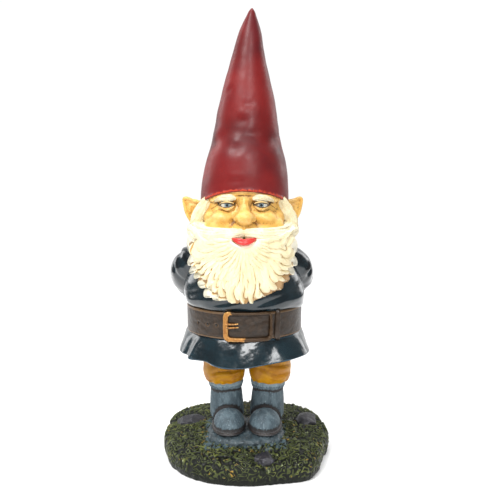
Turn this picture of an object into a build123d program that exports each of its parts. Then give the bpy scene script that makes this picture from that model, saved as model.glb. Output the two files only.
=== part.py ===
"""Garden gnome standing on a mossy plinth, as an assembly of separate castings.

Millimetres, +Z up, the gnome faces -Y. The origin is the centre of the plinth's
underside. Left and right are the gnome's own, so its left is +X.
"""

import os
from math import cos, radians, sin

from build123d import *

# ---------------------------------------------------------------- driving dimensions
overall_height = 340.0
figure_x = -2.0  # the figure stands a little to its right of the plinth's middle

# plinth
base_width, base_depth = 130.0, 120.0
rim_height, crown_height = 16.0, 25.0
slab_top = 26.5
sole_thickness = 3.0

# legs
leg_spacing = 33.0
boot_radius = 12.3
boot_top = 58.0
cuff_top = 63.5
rod_radius = 2.5
rod_foot, rod_head = 8.0, 100.0

# tunic
hem_z, recess_z, waist_z = 84.5, 91.0, 103.0
belt_height, belt_thickness, belt_tilt = 20.5, 3.0, 3.0
belt_rx, belt_ry = 43.5, 39.0
casting_wall = 5.0

# head and hat
face_z = 193.0
brim_z, brim_tilt = 196.0, 27.0
neck_radius = 10.0

upright = Plane.XY
sides = {"left": 1, "right": -1}


# ---------------------------------------------------------------- helpers
def ball(centre, radius):
    with BuildPart() as body:
        with Locations(centre):
            Sphere(radius)
    return body.part


def horn(middle_line):
    """A round, tapering solid along a bent middle line of ((x, y, z), radius) stations."""
    points = [Vector(*point) for point, _ in middle_line]
    with BuildPart() as body:
        for i, (_, radius) in enumerate(middle_line):
            ahead = points[min(i + 1, len(points) - 1)] - points[max(i - 1, 0)]
            with BuildSketch(Plane(origin=points[i], z_dir=ahead)):
                Circle(radius)
        loft()
    return body.part


def tapered_stack(levels):
    """A smooth solid through level ellipses, each (z, rx, ry, x, y)."""
    with BuildPart() as body:
        for z, rx, ry, x, y in levels:
            with BuildSketch(upright.offset(z)):
                with Locations((x, y)):
                    Ellipse(rx, ry)
        loft()
    return body.part


def turned(points, centre):
    """A solid turned about a vertical axis from (radius, z) points of a smooth outline."""
    top, bottom = points[-1], points[0]
    with BuildPart() as body:
        with BuildSketch(Plane.XZ):
            with BuildLine():
                Spline(*points)
                Polyline(top, (0, top[1]), (0, bottom[1]), bottom)
            make_face()
        revolve(axis=Axis.Z)
    return body.part.moved(Location(centre))


def rod_bores(centres, radius=rod_radius):
    """The two leg rods' own space, used for the rods and for every bore they pass."""
    with BuildPart() as rods:
        with BuildSketch(upright.offset(rod_foot)):
            with Locations(*centres):
                Circle(radius)
        extrude(amount=rod_head - rod_foot)
    return rods.part


def less(body, *others):
    """The main solid that is left once its neighbours' space is taken out."""
    with BuildPart() as rest:
        add(body)
        for other in others:
            add(other, mode=Mode.SUBTRACT)
    with BuildPart() as main:
        add(rest.solids().sort_by(SortBy.VOLUME)[-1])
    return main.part


def save(name, part):
    part.label = name
    export_step(part, f"parts/{name}.step")


os.makedirs("parts", exist_ok=True)
leg_x = leg_spacing / 2
leg_y = 2.0
leg_centres = [(side * leg_x, leg_y) for side in sides.values()]
rods = rod_bores(leg_centres)


# ---------------------------------------------------------------- plinth and stones
def stone(centre, length, width, height, turn):
    """A field stone with a worn, faceted top."""
    corners = [(-0.5, -0.2), (-0.2, -0.5), (0.35, -0.45), (0.5, 0.1), (0.2, 0.5), (-0.3, 0.4)]
    with BuildPart() as body:
        with BuildSketch():
            with BuildLine():
                Polyline(*[(x * length, y * width) for x, y in corners], close=True)
            make_face()
        extrude(amount=height, taper=12)
        chamfer(body.edges().group_by(Axis.Z)[-1], height / 5)
    return body.part.moved(Location(centre, (0, 0, turn)))


def plinth_outline():
    """An uneven oval: each point is a share of the half width and half depth."""
    shares = [
        (0.0, -1.0),
        (0.55, -0.90),
        (0.93, -0.50),
        (1.0, 0.05),
        (0.86, 0.58),
        (0.50, 0.93),
        (0.05, 1.0),
        (-0.50, 0.96),
        (-0.90, 0.52),
        (-1.0, 0.0),
        (-0.88, -0.50),
        (-0.48, -0.88),
    ]
    return [(x * base_width / 2, y * base_depth / 2) for x, y in shares]


with BuildPart() as slab:
    with BuildSketch(upright.offset(19)):
        with Locations((-1, -13)):
            RectangleRounded(60, 50, 20)
    extrude(amount=slab_top - 19)
    fillet(slab.edges().group_by(Axis.Z)[-1], 2.0)
foot_slab = less(slab.part, rods)

stones = {
    "stone_left": stone((47, 17, 12), 21, 17, 13.5, 20),
    "stone_right": stone((-44.5, 18, 12), 23, 15, 12, -15),
    "stone_front": stone((13, -48, 10), 15, 15, 11.5, -30),
}
with BuildPart() as ground:
    with BuildSketch():
        with BuildLine():
            Spline(*plinth_outline(), periodic=True)
        make_face()
    extrude(amount=crown_height + 1)
    rise = crown_height - rim_height
    dome_radius = ((base_depth / 2) ** 2 + rise**2) / (2 * rise)
    with Locations((0, 0, crown_height - dome_radius)):
        Sphere(dome_radius, mode=Mode.INTERSECT)
    rims = ground.edges().filter_by(lambda edge: edge.length > base_width).sort_by(Axis.Z)
    fillet(rims[-1], 5.0)
    fillet(rims[0], 2.0)
base_box = ground.part.bounding_box()
base_shift = Location((-base_box.center().X, -base_box.center().Y, 0))
base_ground = less(ground.part.moved(base_shift), slab.part, rods, *stones.values())

save("base_ground", base_ground)
save("foot_slab", foot_slab)
for name, shape in stones.items():
    save(name, shape)


# ---------------------------------------------------------------- boots and breeches
def sole(side):
    """A sole with a narrow heel and a broad toe."""
    with BuildPart() as body:
        with BuildSketch(upright.offset(slab_top)) as outline:
            with Locations((side * 15.5, 6)):
                Circle(11.5)
            with Locations((side * 13.9, -18.5)):
                Circle(13.2)
            make_hull()
        extrude(amount=sole_thickness)
        fillet(body.edges().group_by(Axis.Z)[-1], 1.0)
    return body.part


def boot(side):
    """A felt boot: a round toe and a nearly straight shaft."""
    bottom = slab_top + sole_thickness
    shaft = turned(
        [(12.0, bottom), (boot_radius - 1, 42), (boot_radius - 0.3, 50), (boot_radius, boot_top)],
        (side * leg_x, leg_y, 0),
    )
    toe = (side * 13.9, -18.0, bottom + 1.5)
    instep = horn([(toe, 12.8), ((side * 14.8, -9, bottom + 6), 12.3), ((side * 16, 0, 44), 11.0)])
    with BuildPart() as body:
        add(shaft)
        add(instep)
        add(ball(toe, 13.0))
        split(bisect_by=upright.offset(bottom), keep=Keep.TOP)
    return body.part


def boot_cuff(side):
    """The rolled top edge of a boot."""
    with BuildPart() as body:
        with BuildSketch(Plane.XZ):
            with Locations((11.0, (boot_top + cuff_top) / 2)):
                RectangleRounded(5.4, cuff_top - boot_top, 2.5)
        revolve(axis=Axis.Z)
    return body.part.moved(Location((side * leg_x, leg_y, 0)))


def breeches_leg(side):
    """A full breeches leg, tucked into the boot below and into the tunic above."""
    return turned(
        [(9.0, boot_top), (10.5, 63.0), (15.2, 68.0), (15.8, 77.0), (15.0, 84.0), (14.5, recess_z)],
        (side * 17.7, leg_y, 0),
    )


for name, side in sides.items():
    cuff = boot_cuff(side)
    save(f"sole_{name}", less(sole(side), rods))
    save(f"boot_{name}", less(boot(side), rods))
    save(f"boot_cuff_{name}", cuff)
    save(f"breeches_{name}", less(breeches_leg(side), cuff, boot(side), rods))
    with BuildPart() as rod:
        with Locations((side * leg_x, leg_y, (rod_foot + rod_head) / 2)):
            Cylinder(rod_radius, rod_head - rod_foot)
    save(f"leg_rod_{name}", rod.part)


# ---------------------------------------------------------------- belt and buckle
belt_plane = Plane(
    origin=(figure_x, 0, waist_z - 0.5),
    x_dir=(1, 0, 0),
    z_dir=(0, sin(radians(belt_tilt)), cos(radians(belt_tilt))),
)


def belt_band(rx, ry, thickness):
    """A band round the waist with the given outside and thickness."""
    with BuildPart() as band:
        with BuildSketch(belt_plane):
            Ellipse(rx, ry)
            Ellipse(rx - thickness, ry - thickness, mode=Mode.SUBTRACT)
        extrude(amount=belt_height)
    return band.part


def front_prism(width, height, radius, x, z):
    """A block with rounded edges that reaches from the belly forwards."""
    with BuildPart() as block:
        with BuildSketch(Plane.XZ.offset(10)):
            with Locations((x, z)):
                RectangleRounded(width, height, radius)
        extrude(amount=60)
    return block.part


belt = belt_band(belt_rx, belt_ry, belt_thickness)
belt_middle = waist_z - 0.5 + belt_height / 2 + belt_ry * sin(radians(belt_tilt))
buckle_x, buckle_width, buckle_height, buckle_bar = 1.0, 36.0, 24.0, 3.6

with BuildPart() as buckle:
    add(belt_band(belt_rx + 2.4, belt_ry + 2.4, 2.4))
    add(front_prism(buckle_width, buckle_height, 3.0, buckle_x, belt_middle), mode=Mode.INTERSECT)
    add(
        front_prism(
            buckle_width - 2 * buckle_bar, belt_height - 2 * 1.9, 1.2, buckle_x, belt_middle
        ),
        mode=Mode.SUBTRACT,
    )
with BuildPart() as prong:
    add(belt_band(belt_rx + 1.7, belt_ry + 1.7, 1.7))
    add(
        front_prism(8.0, 2.6, 1.2, buckle_x - buckle_width / 2 + buckle_bar + 4.2, belt_middle),
        mode=Mode.INTERSECT,
    )
with BuildPart() as keeper:
    add(belt_band(belt_rx + 1.6, belt_ry + 1.6, 1.6))
    add(
        front_prism(4.5, belt_height + 8, 1.0, buckle_x + buckle_width / 2 + 3.2, belt_middle),
        mode=Mode.INTERSECT,
    )
save("belt", belt)
save("belt_buckle", buckle.part)
save("buckle_prong", prong.part)
save("belt_keeper", keeper.part)


# ---------------------------------------------------------------- head
head_levels = [(13, 160), (23, 166), (29.5, 177), (31, 191), (29.5, 204), (25, 215), (17, 224)]
head_shell = turned(head_levels, (figure_x, 0, 0))
head_hollow = turned(
    [(radius - casting_wall, face_z + 0.85 * (z - face_z)) for radius, z in head_levels],
    (figure_x, 0, 0),
)
nose_tip = (figure_x + 0.5, -40.0, face_z + 1)
with BuildPart() as head:
    add(head_shell)
    add(horn([((nose_tip[0], -27, 198), 3.6), ((nose_tip[0], -34, 195.8), 4.5), (nose_tip, 5.3)]))
    add(ball(nose_tip, 5.5))
    for side in sides.values():
        add(ball((figure_x + side * 14.5, -22.5, face_z), 9.5))
head_outer = head.part
with BuildPart() as throat:
    with Locations((figure_x, 0, 165)):
        Cylinder(neck_radius, 30)
eyes = {name: ball((figure_x + side * 12.3, -26.4, 202.3), 4.8) for name, side in sides.items()}
save("head", less(head_outer, head_hollow, throat.part, *eyes.values()))
for name, eye in eyes.items():
    save(f"eye_{name}", eye)


# ---------------------------------------------------------------- hat
hat_levels = [
    (172.0, 33.6, 36.0, figure_x, 1.0),
    (190.0, 33.4, 35.5, figure_x, 0.5),
    (206.0, 32.4, 34.5, figure_x + 0.3, 0.5),
    (222.0, 30.4, 31.8, figure_x + 0.8, 1.0),
    (244.0, 25.6, 26.6, figure_x + 1.8, 2.0),
    (266.0, 21.6, 22.2, figure_x + 2.4, 3.0),
    (290.0, 16.4, 16.6, figure_x + 2.9, 4.0),
    (312.0, 10.4, 10.4, figure_x + 4.0, 5.0),
    (330.0, 5.2, 5.2, figure_x + 5.2, 5.8),
    (overall_height, 1.6, 1.6, figure_x + 5.6, 6.0),
]
brim_plane = Plane(
    origin=(figure_x, 0, brim_z),
    x_dir=(1, 0, 0),
    z_dir=(0, sin(radians(brim_tilt)), cos(radians(brim_tilt))),
)
with BuildPart() as hat_cone:
    add(tapered_stack(hat_levels))
    fillet(hat_cone.edges().group_by(Axis.Z)[-1], 1.2)
    split(bisect_by=brim_plane, keep=Keep.TOP)
hat_hollow = tapered_stack(
    [
        (z, rx - casting_wall, ry - casting_wall, x, y)
        for z, rx, ry, x, y in hat_levels
        if 206 <= z <= 312
    ]
)
hat = less(hat_cone.part, hat_hollow, head_shell)
save("hat", hat)


# ---------------------------------------------------------------- tunic
skirt_levels = [
    (hem_z, 51.0, 45.0, figure_x + 1, 0.0),
    (93.0, 46.5, 41.0, figure_x + 1, 0.0),
    (waist_z, 41.5, 37.0, figure_x, 0.0),
]
skirt_recess = tapered_stack(
    [(hem_z - 1, 46.5, 40.5, figure_x + 1, 0.0), (recess_z, 43.0, 37.5, figure_x + 1, 0.0)]
)
save("tunic_skirt", less(tapered_stack(skirt_levels), skirt_recess, belt, rods))

waist_levels = [(z, belt_rx - 2, belt_ry - 2, figure_x, 0.0) for z in (waist_z, 128.0)]
blouse_levels = [
    (waist_z + 19.5, 43.0, 38.5, figure_x, 0.0),
    (130.0, 46.0, 41.0, figure_x, -0.5),
    (142.0, 44.0, 39.0, figure_x, 0.0),
    (155.0, 37.0, 33.0, figure_x, 0.5),
    (165.0, 29.0, 26.0, figure_x, 1.0),
]
hollow_levels = [
    (waist_z - 1, 35.0, 31.0, figure_x, 0.0),
    (130.0, 37.0, 33.0, figure_x, 0.0),
    (144.0, 33.0, 28.0, figure_x, 0.0),
    (153.0, 20.0, 18.0, figure_x, 0.0),
]
with BuildPart() as blouse:
    add(tapered_stack(waist_levels))
    add(tapered_stack(blouse_levels))
tunic_outer = blouse.part
tunic_hollow = tapered_stack(hollow_levels)
tunic_body = less(
    tunic_outer, tunic_hollow, throat.part, belt, buckle.part, keeper.part, head_outer
)
save("tunic_body", tunic_body)


# ---------------------------------------------------------------- arms
def sleeve(side):
    """A full sleeve from the shoulder, out round the elbow and behind the back."""
    middle_line = [
        ((24, 2, 157), 9.0),
        ((36, 4, 154), 11.6),
        ((42, 10, 147), 12.6),
        ((43, 18, 138), 12.6),
        ((37, 30, 129), 11.6),
        ((25, 39, 122), 9.6),
        ((11, 43, 119), 7.4),
    ]
    return horn([((figure_x + side * x, y, z), radius) for (x, y, z), radius in middle_line])


def hand(centre):
    """A loosely closed hand behind the back."""
    with BuildPart() as body:
        with Locations(centre):
            Box(17, 7.5, 14)
        fillet(body.edges().filter_by(Axis.Y), 5)
        fillet(body.faces().sort_by(Axis.Y)[-1].edges(), 3)
    return body.part


sleeves = {name: less(sleeve(side), tunic_outer, belt) for name, side in sides.items()}
hand_right = less(hand((figure_x - 4.5, 47, 119)), *sleeves.values())
hand_left = less(hand((figure_x + 5, 52, 117.5)), hand_right, *sleeves.values())
for name, arm in sleeves.items():
    save(f"sleeve_{name}", arm)
save("hand_right", hand_right)
save("hand_left", hand_left)


# ---------------------------------------------------------------- ears, brows and whiskers
def ear(side):
    """A broad ear that stands out below the hat's edge and comes to a soft point."""
    outline = [(27, 184), (33, 180), (40, 183), (44.8, 192), (46, 200), (41, 204), (34, 202), (27, 197)]
    with BuildPart() as body:
        with BuildSketch(Plane.XZ.offset(-5.5)):
            with BuildLine():
                Spline(*[(figure_x + side * x, z) for x, z in outline], periodic=True)
            make_face()
        extrude(amount=7)
        fillet(body.faces().sort_by(Axis.Y)[0].edges(), 1.5)
        fillet(body.faces().sort_by(Axis.Y)[-1].edges(), 1.5)
    return body.part


def mirrored_horn(stations, side):
    """A horn given for the gnome's left and turned to the wanted side of the figure."""
    return horn([((figure_x + side * x, y, z), radius) for (x, y, z), radius in stations])


brow_line = [
    ((6.5, -27.5, 208.5), 1.6),
    ((11.0, -27.2, 208.0), 2.5),
    ((16.5, -25.0, 206.5), 2.4),
    ((21.5, -20.5, 204.0), 1.3),
]
sideburn_line = [
    ((27.5, -14.5, 204.0), 3.0),
    ((30.5, -13.0, 197.0), 4.2),
    ((33.0, -11.0, 190.0), 4.8),
]
moustache_line = [
    ((14.0, -39.0, 186.0), 6.2),
    ((26.0, -32.0, 184.0), 4.8),
    ((36.0, -19.0, 183.5), 1.8),
]
mouth_line = [
    ((-8.6, -45.0, 179.4), 0.7),
    ((-4.0, -46.8, 178.7), 2.4),
    ((4.0, -46.8, 178.7), 2.4),
    ((8.6, -45.0, 179.4), 0.7),
]

ears = {name: less(ear(side), head_outer, hat_cone.part) for name, side in sides.items()}
for name, side in sides.items():
    save(f"ear_{name}", ears[name])
    brow = mirrored_horn(brow_line, side)
    save(f"brow_{name}", less(brow, head_outer, hat_cone.part, eyes[name]))

right_half = [((-x, y, z), radius) for (x, y, z), radius in reversed(moustache_line)]
under_nose = ((0.0, -40.5, 187.0), 5.2)
whiskers = mirrored_horn([*right_half, under_nose, *moustache_line], 1)
moustache = less(whiskers, head_outer)
lips = less(mirrored_horn(mouth_line, 1), moustache)
save("moustache", moustache)
save("lips", lips)


# ---------------------------------------------------------------- beard and hair
beard_levels = [
    (132.0, 12.0, 8.0, figure_x, -37.0),
    (142.0, 27.0, 17.0, figure_x, -30.5),
    (154.0, 36.0, 25.0, figure_x, -23.5),
    (168.0, 40.5, 31.0, figure_x, -18.5),
    (182.0, 40.0, 31.0, figure_x, -17.0),
    (194.0, 34.0, 25.0, figure_x, -14.0),
]
with BuildPart() as beard_mass:
    add(tapered_stack(beard_levels))
    split(bisect_by=Plane(origin=(0, 2, 0), z_dir=(0, -1, 0)), keep=Keep.TOP)
around = [head_outer, hat_cone.part, tunic_outer, *ears.values(), *sleeves.values()]
beard = less(beard_mass.part, *around, whiskers, lips)
save("beard", beard)

for name, side in sides.items():
    strand = mirrored_horn(sideburn_line, side)
    save(
        f"sideburn_{name}",
        less(strand, head_outer, hat_cone.part, beard_mass.part, ears[name], whiskers),
    )

with BuildPart() as hair_mass:
    add(turned([(18, 156), (28, 160), (32.5, 170), (32.8, 180), (31, 192)], (figure_x, 0, 0)))
    split(bisect_by=Plane(origin=(0, 7, 0), z_dir=(0, 1, 0)), keep=Keep.TOP)
save("back_hair", less(hair_mass.part, *around))
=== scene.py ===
"""The looks of a painted garden gnome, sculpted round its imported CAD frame.

Every piece is worked out in millimetres from the CAD nodes' boxes and written to
Blender in metres. The gnome faces -Y, and +X is its own left.
"""

import itertools
import math

import bpy
import numpy as np
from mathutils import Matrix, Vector


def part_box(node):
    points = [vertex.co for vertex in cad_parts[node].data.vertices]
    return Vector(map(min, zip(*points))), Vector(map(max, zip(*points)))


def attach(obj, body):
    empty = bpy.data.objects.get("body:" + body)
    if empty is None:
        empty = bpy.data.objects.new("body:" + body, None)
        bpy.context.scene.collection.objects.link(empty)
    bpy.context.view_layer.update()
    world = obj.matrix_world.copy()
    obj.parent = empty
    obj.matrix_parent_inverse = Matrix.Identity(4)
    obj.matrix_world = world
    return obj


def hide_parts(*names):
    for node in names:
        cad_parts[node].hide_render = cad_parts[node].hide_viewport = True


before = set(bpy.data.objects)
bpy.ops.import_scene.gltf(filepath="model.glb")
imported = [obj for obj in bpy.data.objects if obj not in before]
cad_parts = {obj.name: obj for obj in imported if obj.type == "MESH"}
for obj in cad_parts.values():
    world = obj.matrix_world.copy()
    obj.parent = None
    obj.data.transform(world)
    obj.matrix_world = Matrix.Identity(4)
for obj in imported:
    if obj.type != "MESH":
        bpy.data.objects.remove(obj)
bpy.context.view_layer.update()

MM = 0.001
TURN = 2 * math.pi
BODY = "root"
SIDES = {"left": 1, "right": -1}
STONES = ("stone_left", "stone_right", "stone_front")
FRONT = np.array([0.0, -1.0, 0.0])
UP = np.array([0.0, 0.0, 1.0])
cos, sin = np.cos, np.sin


# ---------------------------------------------------------------- places
def box(node):
    """A CAD node's lowest and highest corner, in millimetres."""
    low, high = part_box(node)
    return np.array(low) / MM, np.array(high) / MM


def middle(node):
    low, high = box(node)
    return (low + high) / 2


def extent(node):
    """A CAD node's middle and half its size."""
    low, high = box(node)
    return (low + high) / 2, (high - low) / 2


def xyz(x, y, z):
    """Points from three coordinates, of which some may be one number for all."""
    return np.stack(np.broadcast_arrays(x, y, z), -1)


def circle(count):
    """Evenly spread angles round a full turn."""
    return np.arange(count) * TURN / count


def oval(x, y, rx, ry, z, angle):
    """Points of a level oval about (x, y) at the given angles."""
    return xyz(x + rx * cos(angle), y + ry * sin(angle), z)


def smooth_curve(stations, t):
    """Values of a smooth curve through (t, value) stations."""
    ts, values = np.array(stations, float).T
    slopes = np.gradient(values, ts)
    i = np.clip(np.searchsorted(ts, t) - 1, 0, len(ts) - 2)
    width = ts[i + 1] - ts[i]
    s = np.clip((t - ts[i]) / width, 0, 1)
    start = (2 * s**3 - 3 * s**2 + 1) * values[i] + (s**3 - 2 * s**2 + s) * width * slopes[i]
    end = (-2 * s**3 + 3 * s**2) * values[i + 1] + (s**3 - s**2) * width * slopes[i + 1]
    return start + end


def smooth_path(points, count):
    """Evenly parametrised points of a smooth curve through the given ones."""
    points = np.array(points, float)
    ts = np.linspace(0, 1, len(points))
    t = np.linspace(0, 1, count)
    columns = [smooth_curve(list(zip(ts, points[:, i])), t) for i in range(points.shape[1])]
    return np.stack(columns, 1)


def step(low, high, x):
    """Rises smoothly from 0 at low to 1 at high."""
    s = np.clip((x - low) / (high - low), 0, 1)
    return s * s * (3 - 2 * s)


def bump(x, centre, width):
    """A soft bump of height 1."""
    return np.exp(-(((x - centre) / width) ** 2))


def angle_gap(a, b):
    """The turn from b to a, between -pi and pi."""
    return (a - b + math.pi) % TURN - math.pi


# ---------------------------------------------------------------- noise
def hashed(cells, seed):
    """Three repeatable numbers from -1 to 1 for each lattice cell."""
    c = cells.astype(np.int64)
    mixed = (c[:, 0] * 73856093) ^ (c[:, 1] * 19349663) ^ (c[:, 2] * 83492791) ^ (seed * 2654435761)
    numbers = []
    for i in range(3):
        h = (mixed + i * 0x9E3779B9) & 0xFFFFFFFF
        for _ in range(2):
            h = ((h ^ (h >> 16)) * 0x45D9F3B) & 0xFFFFFFFF
        numbers.append((h ^ (h >> 16)) / 2**31 - 1.0)
    return np.stack(numbers, 1)


def noise(points, size, seed=0):
    """Smooth noise from about -1 to 1, with features of the given size, one number or one per axis."""
    scaled = points / np.asarray(size, float)
    cell = np.floor(scaled)
    part = scaled - cell
    ease = part**3 * (part * (part * 6 - 15) + 10)
    total = np.zeros(len(points))
    for corner in itertools.product((0, 1), repeat=3):
        corner = np.array(corner)
        weight = np.prod(np.where(corner == 1, ease, 1 - ease), axis=1)
        total += weight * np.sum(hashed(cell + corner, seed) * (part - corner), axis=1)
    return total * 1.5


def layered(points, size, octaves=3, seed=0):
    size = np.asarray(size, float)
    return sum(noise(points, size / 2**i, seed + i) / 2**i for i in range(octaves))


# ---------------------------------------------------------------- meshes
def link(thing):
    bpy.context.scene.collection.objects.link(thing)


class Clay:
    """Lumps of closed mesh, gathered in millimetres and made into one object."""

    def __init__(self):
        self.points, self.faces, self.count = [], [], 0

    def add(self, points, *faces):
        self.points.append(points)
        self.faces += [f + self.count for f in faces]
        self.count += len(points)

    def make(self, name):
        mesh = bpy.data.meshes.new(name)
        faces = [face for block in self.faces for face in block.tolist()]
        mesh.from_pydata((np.concatenate(self.points) * MM).tolist(), [], faces)
        mesh.update()
        piece = bpy.data.objects.new(name, mesh)
        link(piece)
        return piece


def ring_faces(rows, around):
    """Quads of a surface of rows of points that close round on themselves."""
    i, j = np.meshgrid(np.arange(rows - 1), np.arange(around), indexing="ij")
    here, there = i * around + j, i * around + (j + 1) % around
    return np.stack([here, there, there + around, here + around], -1).reshape(-1, 4)


def add_skin(clay, rings):
    """A closed surface through rings (rows, around, 3), each end drawn to a middle point."""
    rows, around, _ = rings.shape
    ends = rings[[0, -1]].mean(axis=1)
    j = np.arange(around)
    k = (j + 1) % around
    first, last = rows * around, rows * around + 1
    start = xyz(k, j, first)
    end = xyz(j, k, last) + np.array([1, 1, 0]) * (rows - 1) * around
    clay.add(np.concatenate([rings.reshape(-1, 3), ends]), ring_faces(rows, around), start, end)


def skinned(name, rings):
    """An object of one closed surface through rings."""
    clay = Clay()
    add_skin(clay, np.asarray(rings))
    return clay.make(name)


def add_hoop(clay, rings):
    """A closed surface through rings (rows, around, 3), the last joined to the first."""
    rows, around, _ = rings.shape
    clay.add(rings.reshape(-1, 3), ring_faces(rows + 1, around) % (rows * around))


def add_blob(clay, centre, radii, turn=(0, 0, 0), rows=24, around=32):
    """An ellipsoid lump, turned by degrees about X, Y and Z."""
    v, u = np.meshgrid(
        np.linspace(0.02, 0.98, rows) * math.pi, circle(around), indexing="ij"
    )
    rings = xyz(sin(v) * cos(u), sin(v) * sin(u), -cos(v))
    rings = (rings * np.array(radii)) @ turned(turn).T + np.array(centre)
    add_skin(clay, rings)


def turned(degrees):
    """The matrix that turns by degrees about X, then Y, then Z."""
    matrix = np.eye(3)
    for axis, angle in enumerate(np.radians(degrees)):
        c, s = math.cos(angle), math.sin(angle)
        one = np.eye(3)
        a, b = [(1, 2), (2, 0), (0, 1)][axis]
        one[a, a], one[a, b], one[b, a], one[b, b] = c, -s, s, c
        matrix = one @ matrix
    return matrix


def unit(vectors):
    return vectors / np.maximum(np.linalg.norm(vectors, axis=-1, keepdims=True), 1e-9)


def add_tube(clay, path, radii, outward, sides=10, flat=1.0):
    """A closed tapering tube. flat is its thickness along outward as a share of its width."""
    tangent = unit(np.gradient(path, axis=0))
    across = unit(np.cross(tangent, np.broadcast_to(outward, path.shape)))
    up = np.cross(across, tangent)
    angle = circle(sides)
    ring = (
        cos(angle)[None, :, None] * across[:, None] + flat * sin(angle)[None, :, None] * up[:, None]
    )
    add_skin(clay, path[:, None] + np.asarray(radii)[:, None, None] * ring)


def read(items, name, width, kind=float):
    """One named property of a mesh's points or edges, a row for each."""
    flat = np.empty(len(items) * width, kind)
    items.foreach_get(name, flat)
    return flat.reshape(-1, width)


def points_of(piece):
    return read(piece.data.vertices, "co", 3) / MM


def normals_of(piece):
    return read(piece.data.vertices, "normal", 3)


def edges_of(piece):
    return read(piece.data.edges, "vertices", 2, np.int64)


def set_points(piece, points):
    piece.data.vertices.foreach_set("co", (points * MM).ravel())
    piece.data.update()


def neighbour_mean(values, edges):
    count = len(values)
    a, b = edges[:, 0], edges[:, 1]
    degree = np.bincount(a, minlength=count) + np.bincount(b, minlength=count)
    columns = [
        np.bincount(a, weights=values[b, i], minlength=count)
        + np.bincount(b, weights=values[a, i], minlength=count)
        for i in range(values.shape[1])
    ]
    return np.stack(columns, 1) / np.maximum(degree, 1)[:, None]


def fuse(piece, voxel, relax=0):
    """Makes one skin of a piece's lumps, then rubs it smooth."""
    modifier = piece.modifiers.new("fuse", "REMESH")
    modifier.mode = "VOXEL"
    modifier.voxel_size = voxel * MM
    depsgraph = bpy.context.evaluated_depsgraph_get()
    mesh = bpy.data.meshes.new_from_object(piece.evaluated_get(depsgraph))
    piece.modifiers.clear()
    piece.data = mesh
    edges = edges_of(piece)
    points = points_of(piece)
    for _ in range(relax):
        points = neighbour_mean(points, edges)
    set_points(piece, points)


def push(piece, amount):
    """Moves each point along its normal by amount(points, normals), in millimetres."""
    points, normals = points_of(piece), normals_of(piece)
    set_points(piece, points + normals * amount(points, normals)[:, None])


def roughen(piece, *grains):
    """Pushes noise into a piece, given as (depth, size, octaves, seed)."""
    push(piece, lambda points, normals: sum(d * layered(points, size, n, seed) for d, size, n,
                                            seed in grains))


def mark(piece, name, values):
    """Stores one number per point for the materials to read."""
    attribute = piece.data.attributes.new(name, "FLOAT", "POINT")
    attribute.data.foreach_set("value", values.astype(np.float32))


def mark_relief(piece, reach, depth):
    """Stores how far each point lies in a groove, above 0, or on a ridge, below 0."""
    points, normals, edges = points_of(piece), normals_of(piece), edges_of(piece)
    soft = points
    for _ in range(reach):
        soft = neighbour_mean(soft, edges)
    mark(piece, "relief", np.sum((soft - points) * normals, axis=1) / depth)


def finish_piece(piece, material, slot, *nodes, reach=8, depth=0.25):
    """Shades, marks and paints a piece, and sets it in place of its CAD nodes."""
    mark_relief(piece, reach, depth)
    piece.data.polygons.foreach_set("use_smooth", [True] * len(piece.data.polygons))
    piece.data.materials.clear()
    piece.data.materials.append(material)
    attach(piece, BODY)
    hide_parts(*nodes)
    return piece


# ---------------------------------------------------------------- materials
def linear(colour):
    """A colour of 0 to 255 per channel, as Blender's linear numbers."""
    shares = [c / 255 for c in colour]
    return [c / 12.92 if c <= 0.04045 else ((c + 0.055) / 1.055) ** 2.4 for c in shares] + [1.0]


class Paint:
    """A material's nodes, built up as layers of paint over a base colour."""

    def __init__(self, name):
        self.material = bpy.data.materials.new(name)
        self.material.use_nodes = True
        self.nodes = self.material.node_tree.nodes
        self.links = self.material.node_tree.links
        self.surface = self.nodes["Principled BSDF"]
        self.place = self.node("ShaderNodeTexCoord").outputs["Object"]

    def node(self, kind, values=None, **settings):
        made = self.nodes.new(kind)
        for name, value in settings.items():
            setattr(made, name, value)
        for name, value in (values or {}).items():
            if isinstance(value, bpy.types.NodeSocket):
                self.links.new(value, made.inputs[name])
            else:
                made.inputs[name].default_value = value
        return made

    def noise(self, size, detail=3.0, stretch=(1, 1, 1), warp=0.0):
        """Noise with features of a size in millimetres, drawn out along an axis by stretch."""
        spread = self.node("ShaderNodeMapping", {"Vector": self.place})
        spread.inputs["Scale"].default_value = [1 / s for s in stretch]
        values = {
            "Vector": spread.outputs[0], "Scale": 1 / (size * MM), "Detail": detail, "Distortion": warp
        }
        return self.node("ShaderNodeTexNoise", values).outputs[0]

    def attribute(self, name):
        return self.node("ShaderNodeAttribute", attribute_name=name).outputs["Fac"]

    def math(self, operation, a, b):
        return self.node("ShaderNodeMath", {0: a, 1: b}, operation=operation).outputs[0]

    def ramp(self, value, low, high, bottom=0.0, top=1.0):
        """Turns a value between low and high into one between bottom and top."""
        values = {"Value": value, "From Min": low, "From Max": high, "To Min": bottom, "To Max": top}
        return self.node("ShaderNodeMapRange", values, interpolation_type="SMOOTHSTEP").outputs[0]

    def mix(self, share, under, over):
        values = {"Factor": share, 6: under, 7: over}
        return self.node("ShaderNodeMix", values, data_type="RGBA").outputs[2]

    def bump(self, height, depth):
        made = self.node("ShaderNodeBump", {"Height": height, "Distance": depth * MM, "Strength": 1.0})
        self.links.new(made.outputs[0], self.surface.inputs["Normal"])

    def done(self, colour, rough, **constants):
        self.links.new(colour, self.surface.inputs["Base Color"])
        self.links.new(rough, self.surface.inputs["Roughness"])
        for name, value in constants.items():
            self.surface.inputs[name.replace("_", " ")].default_value = value
        return self.material


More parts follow.
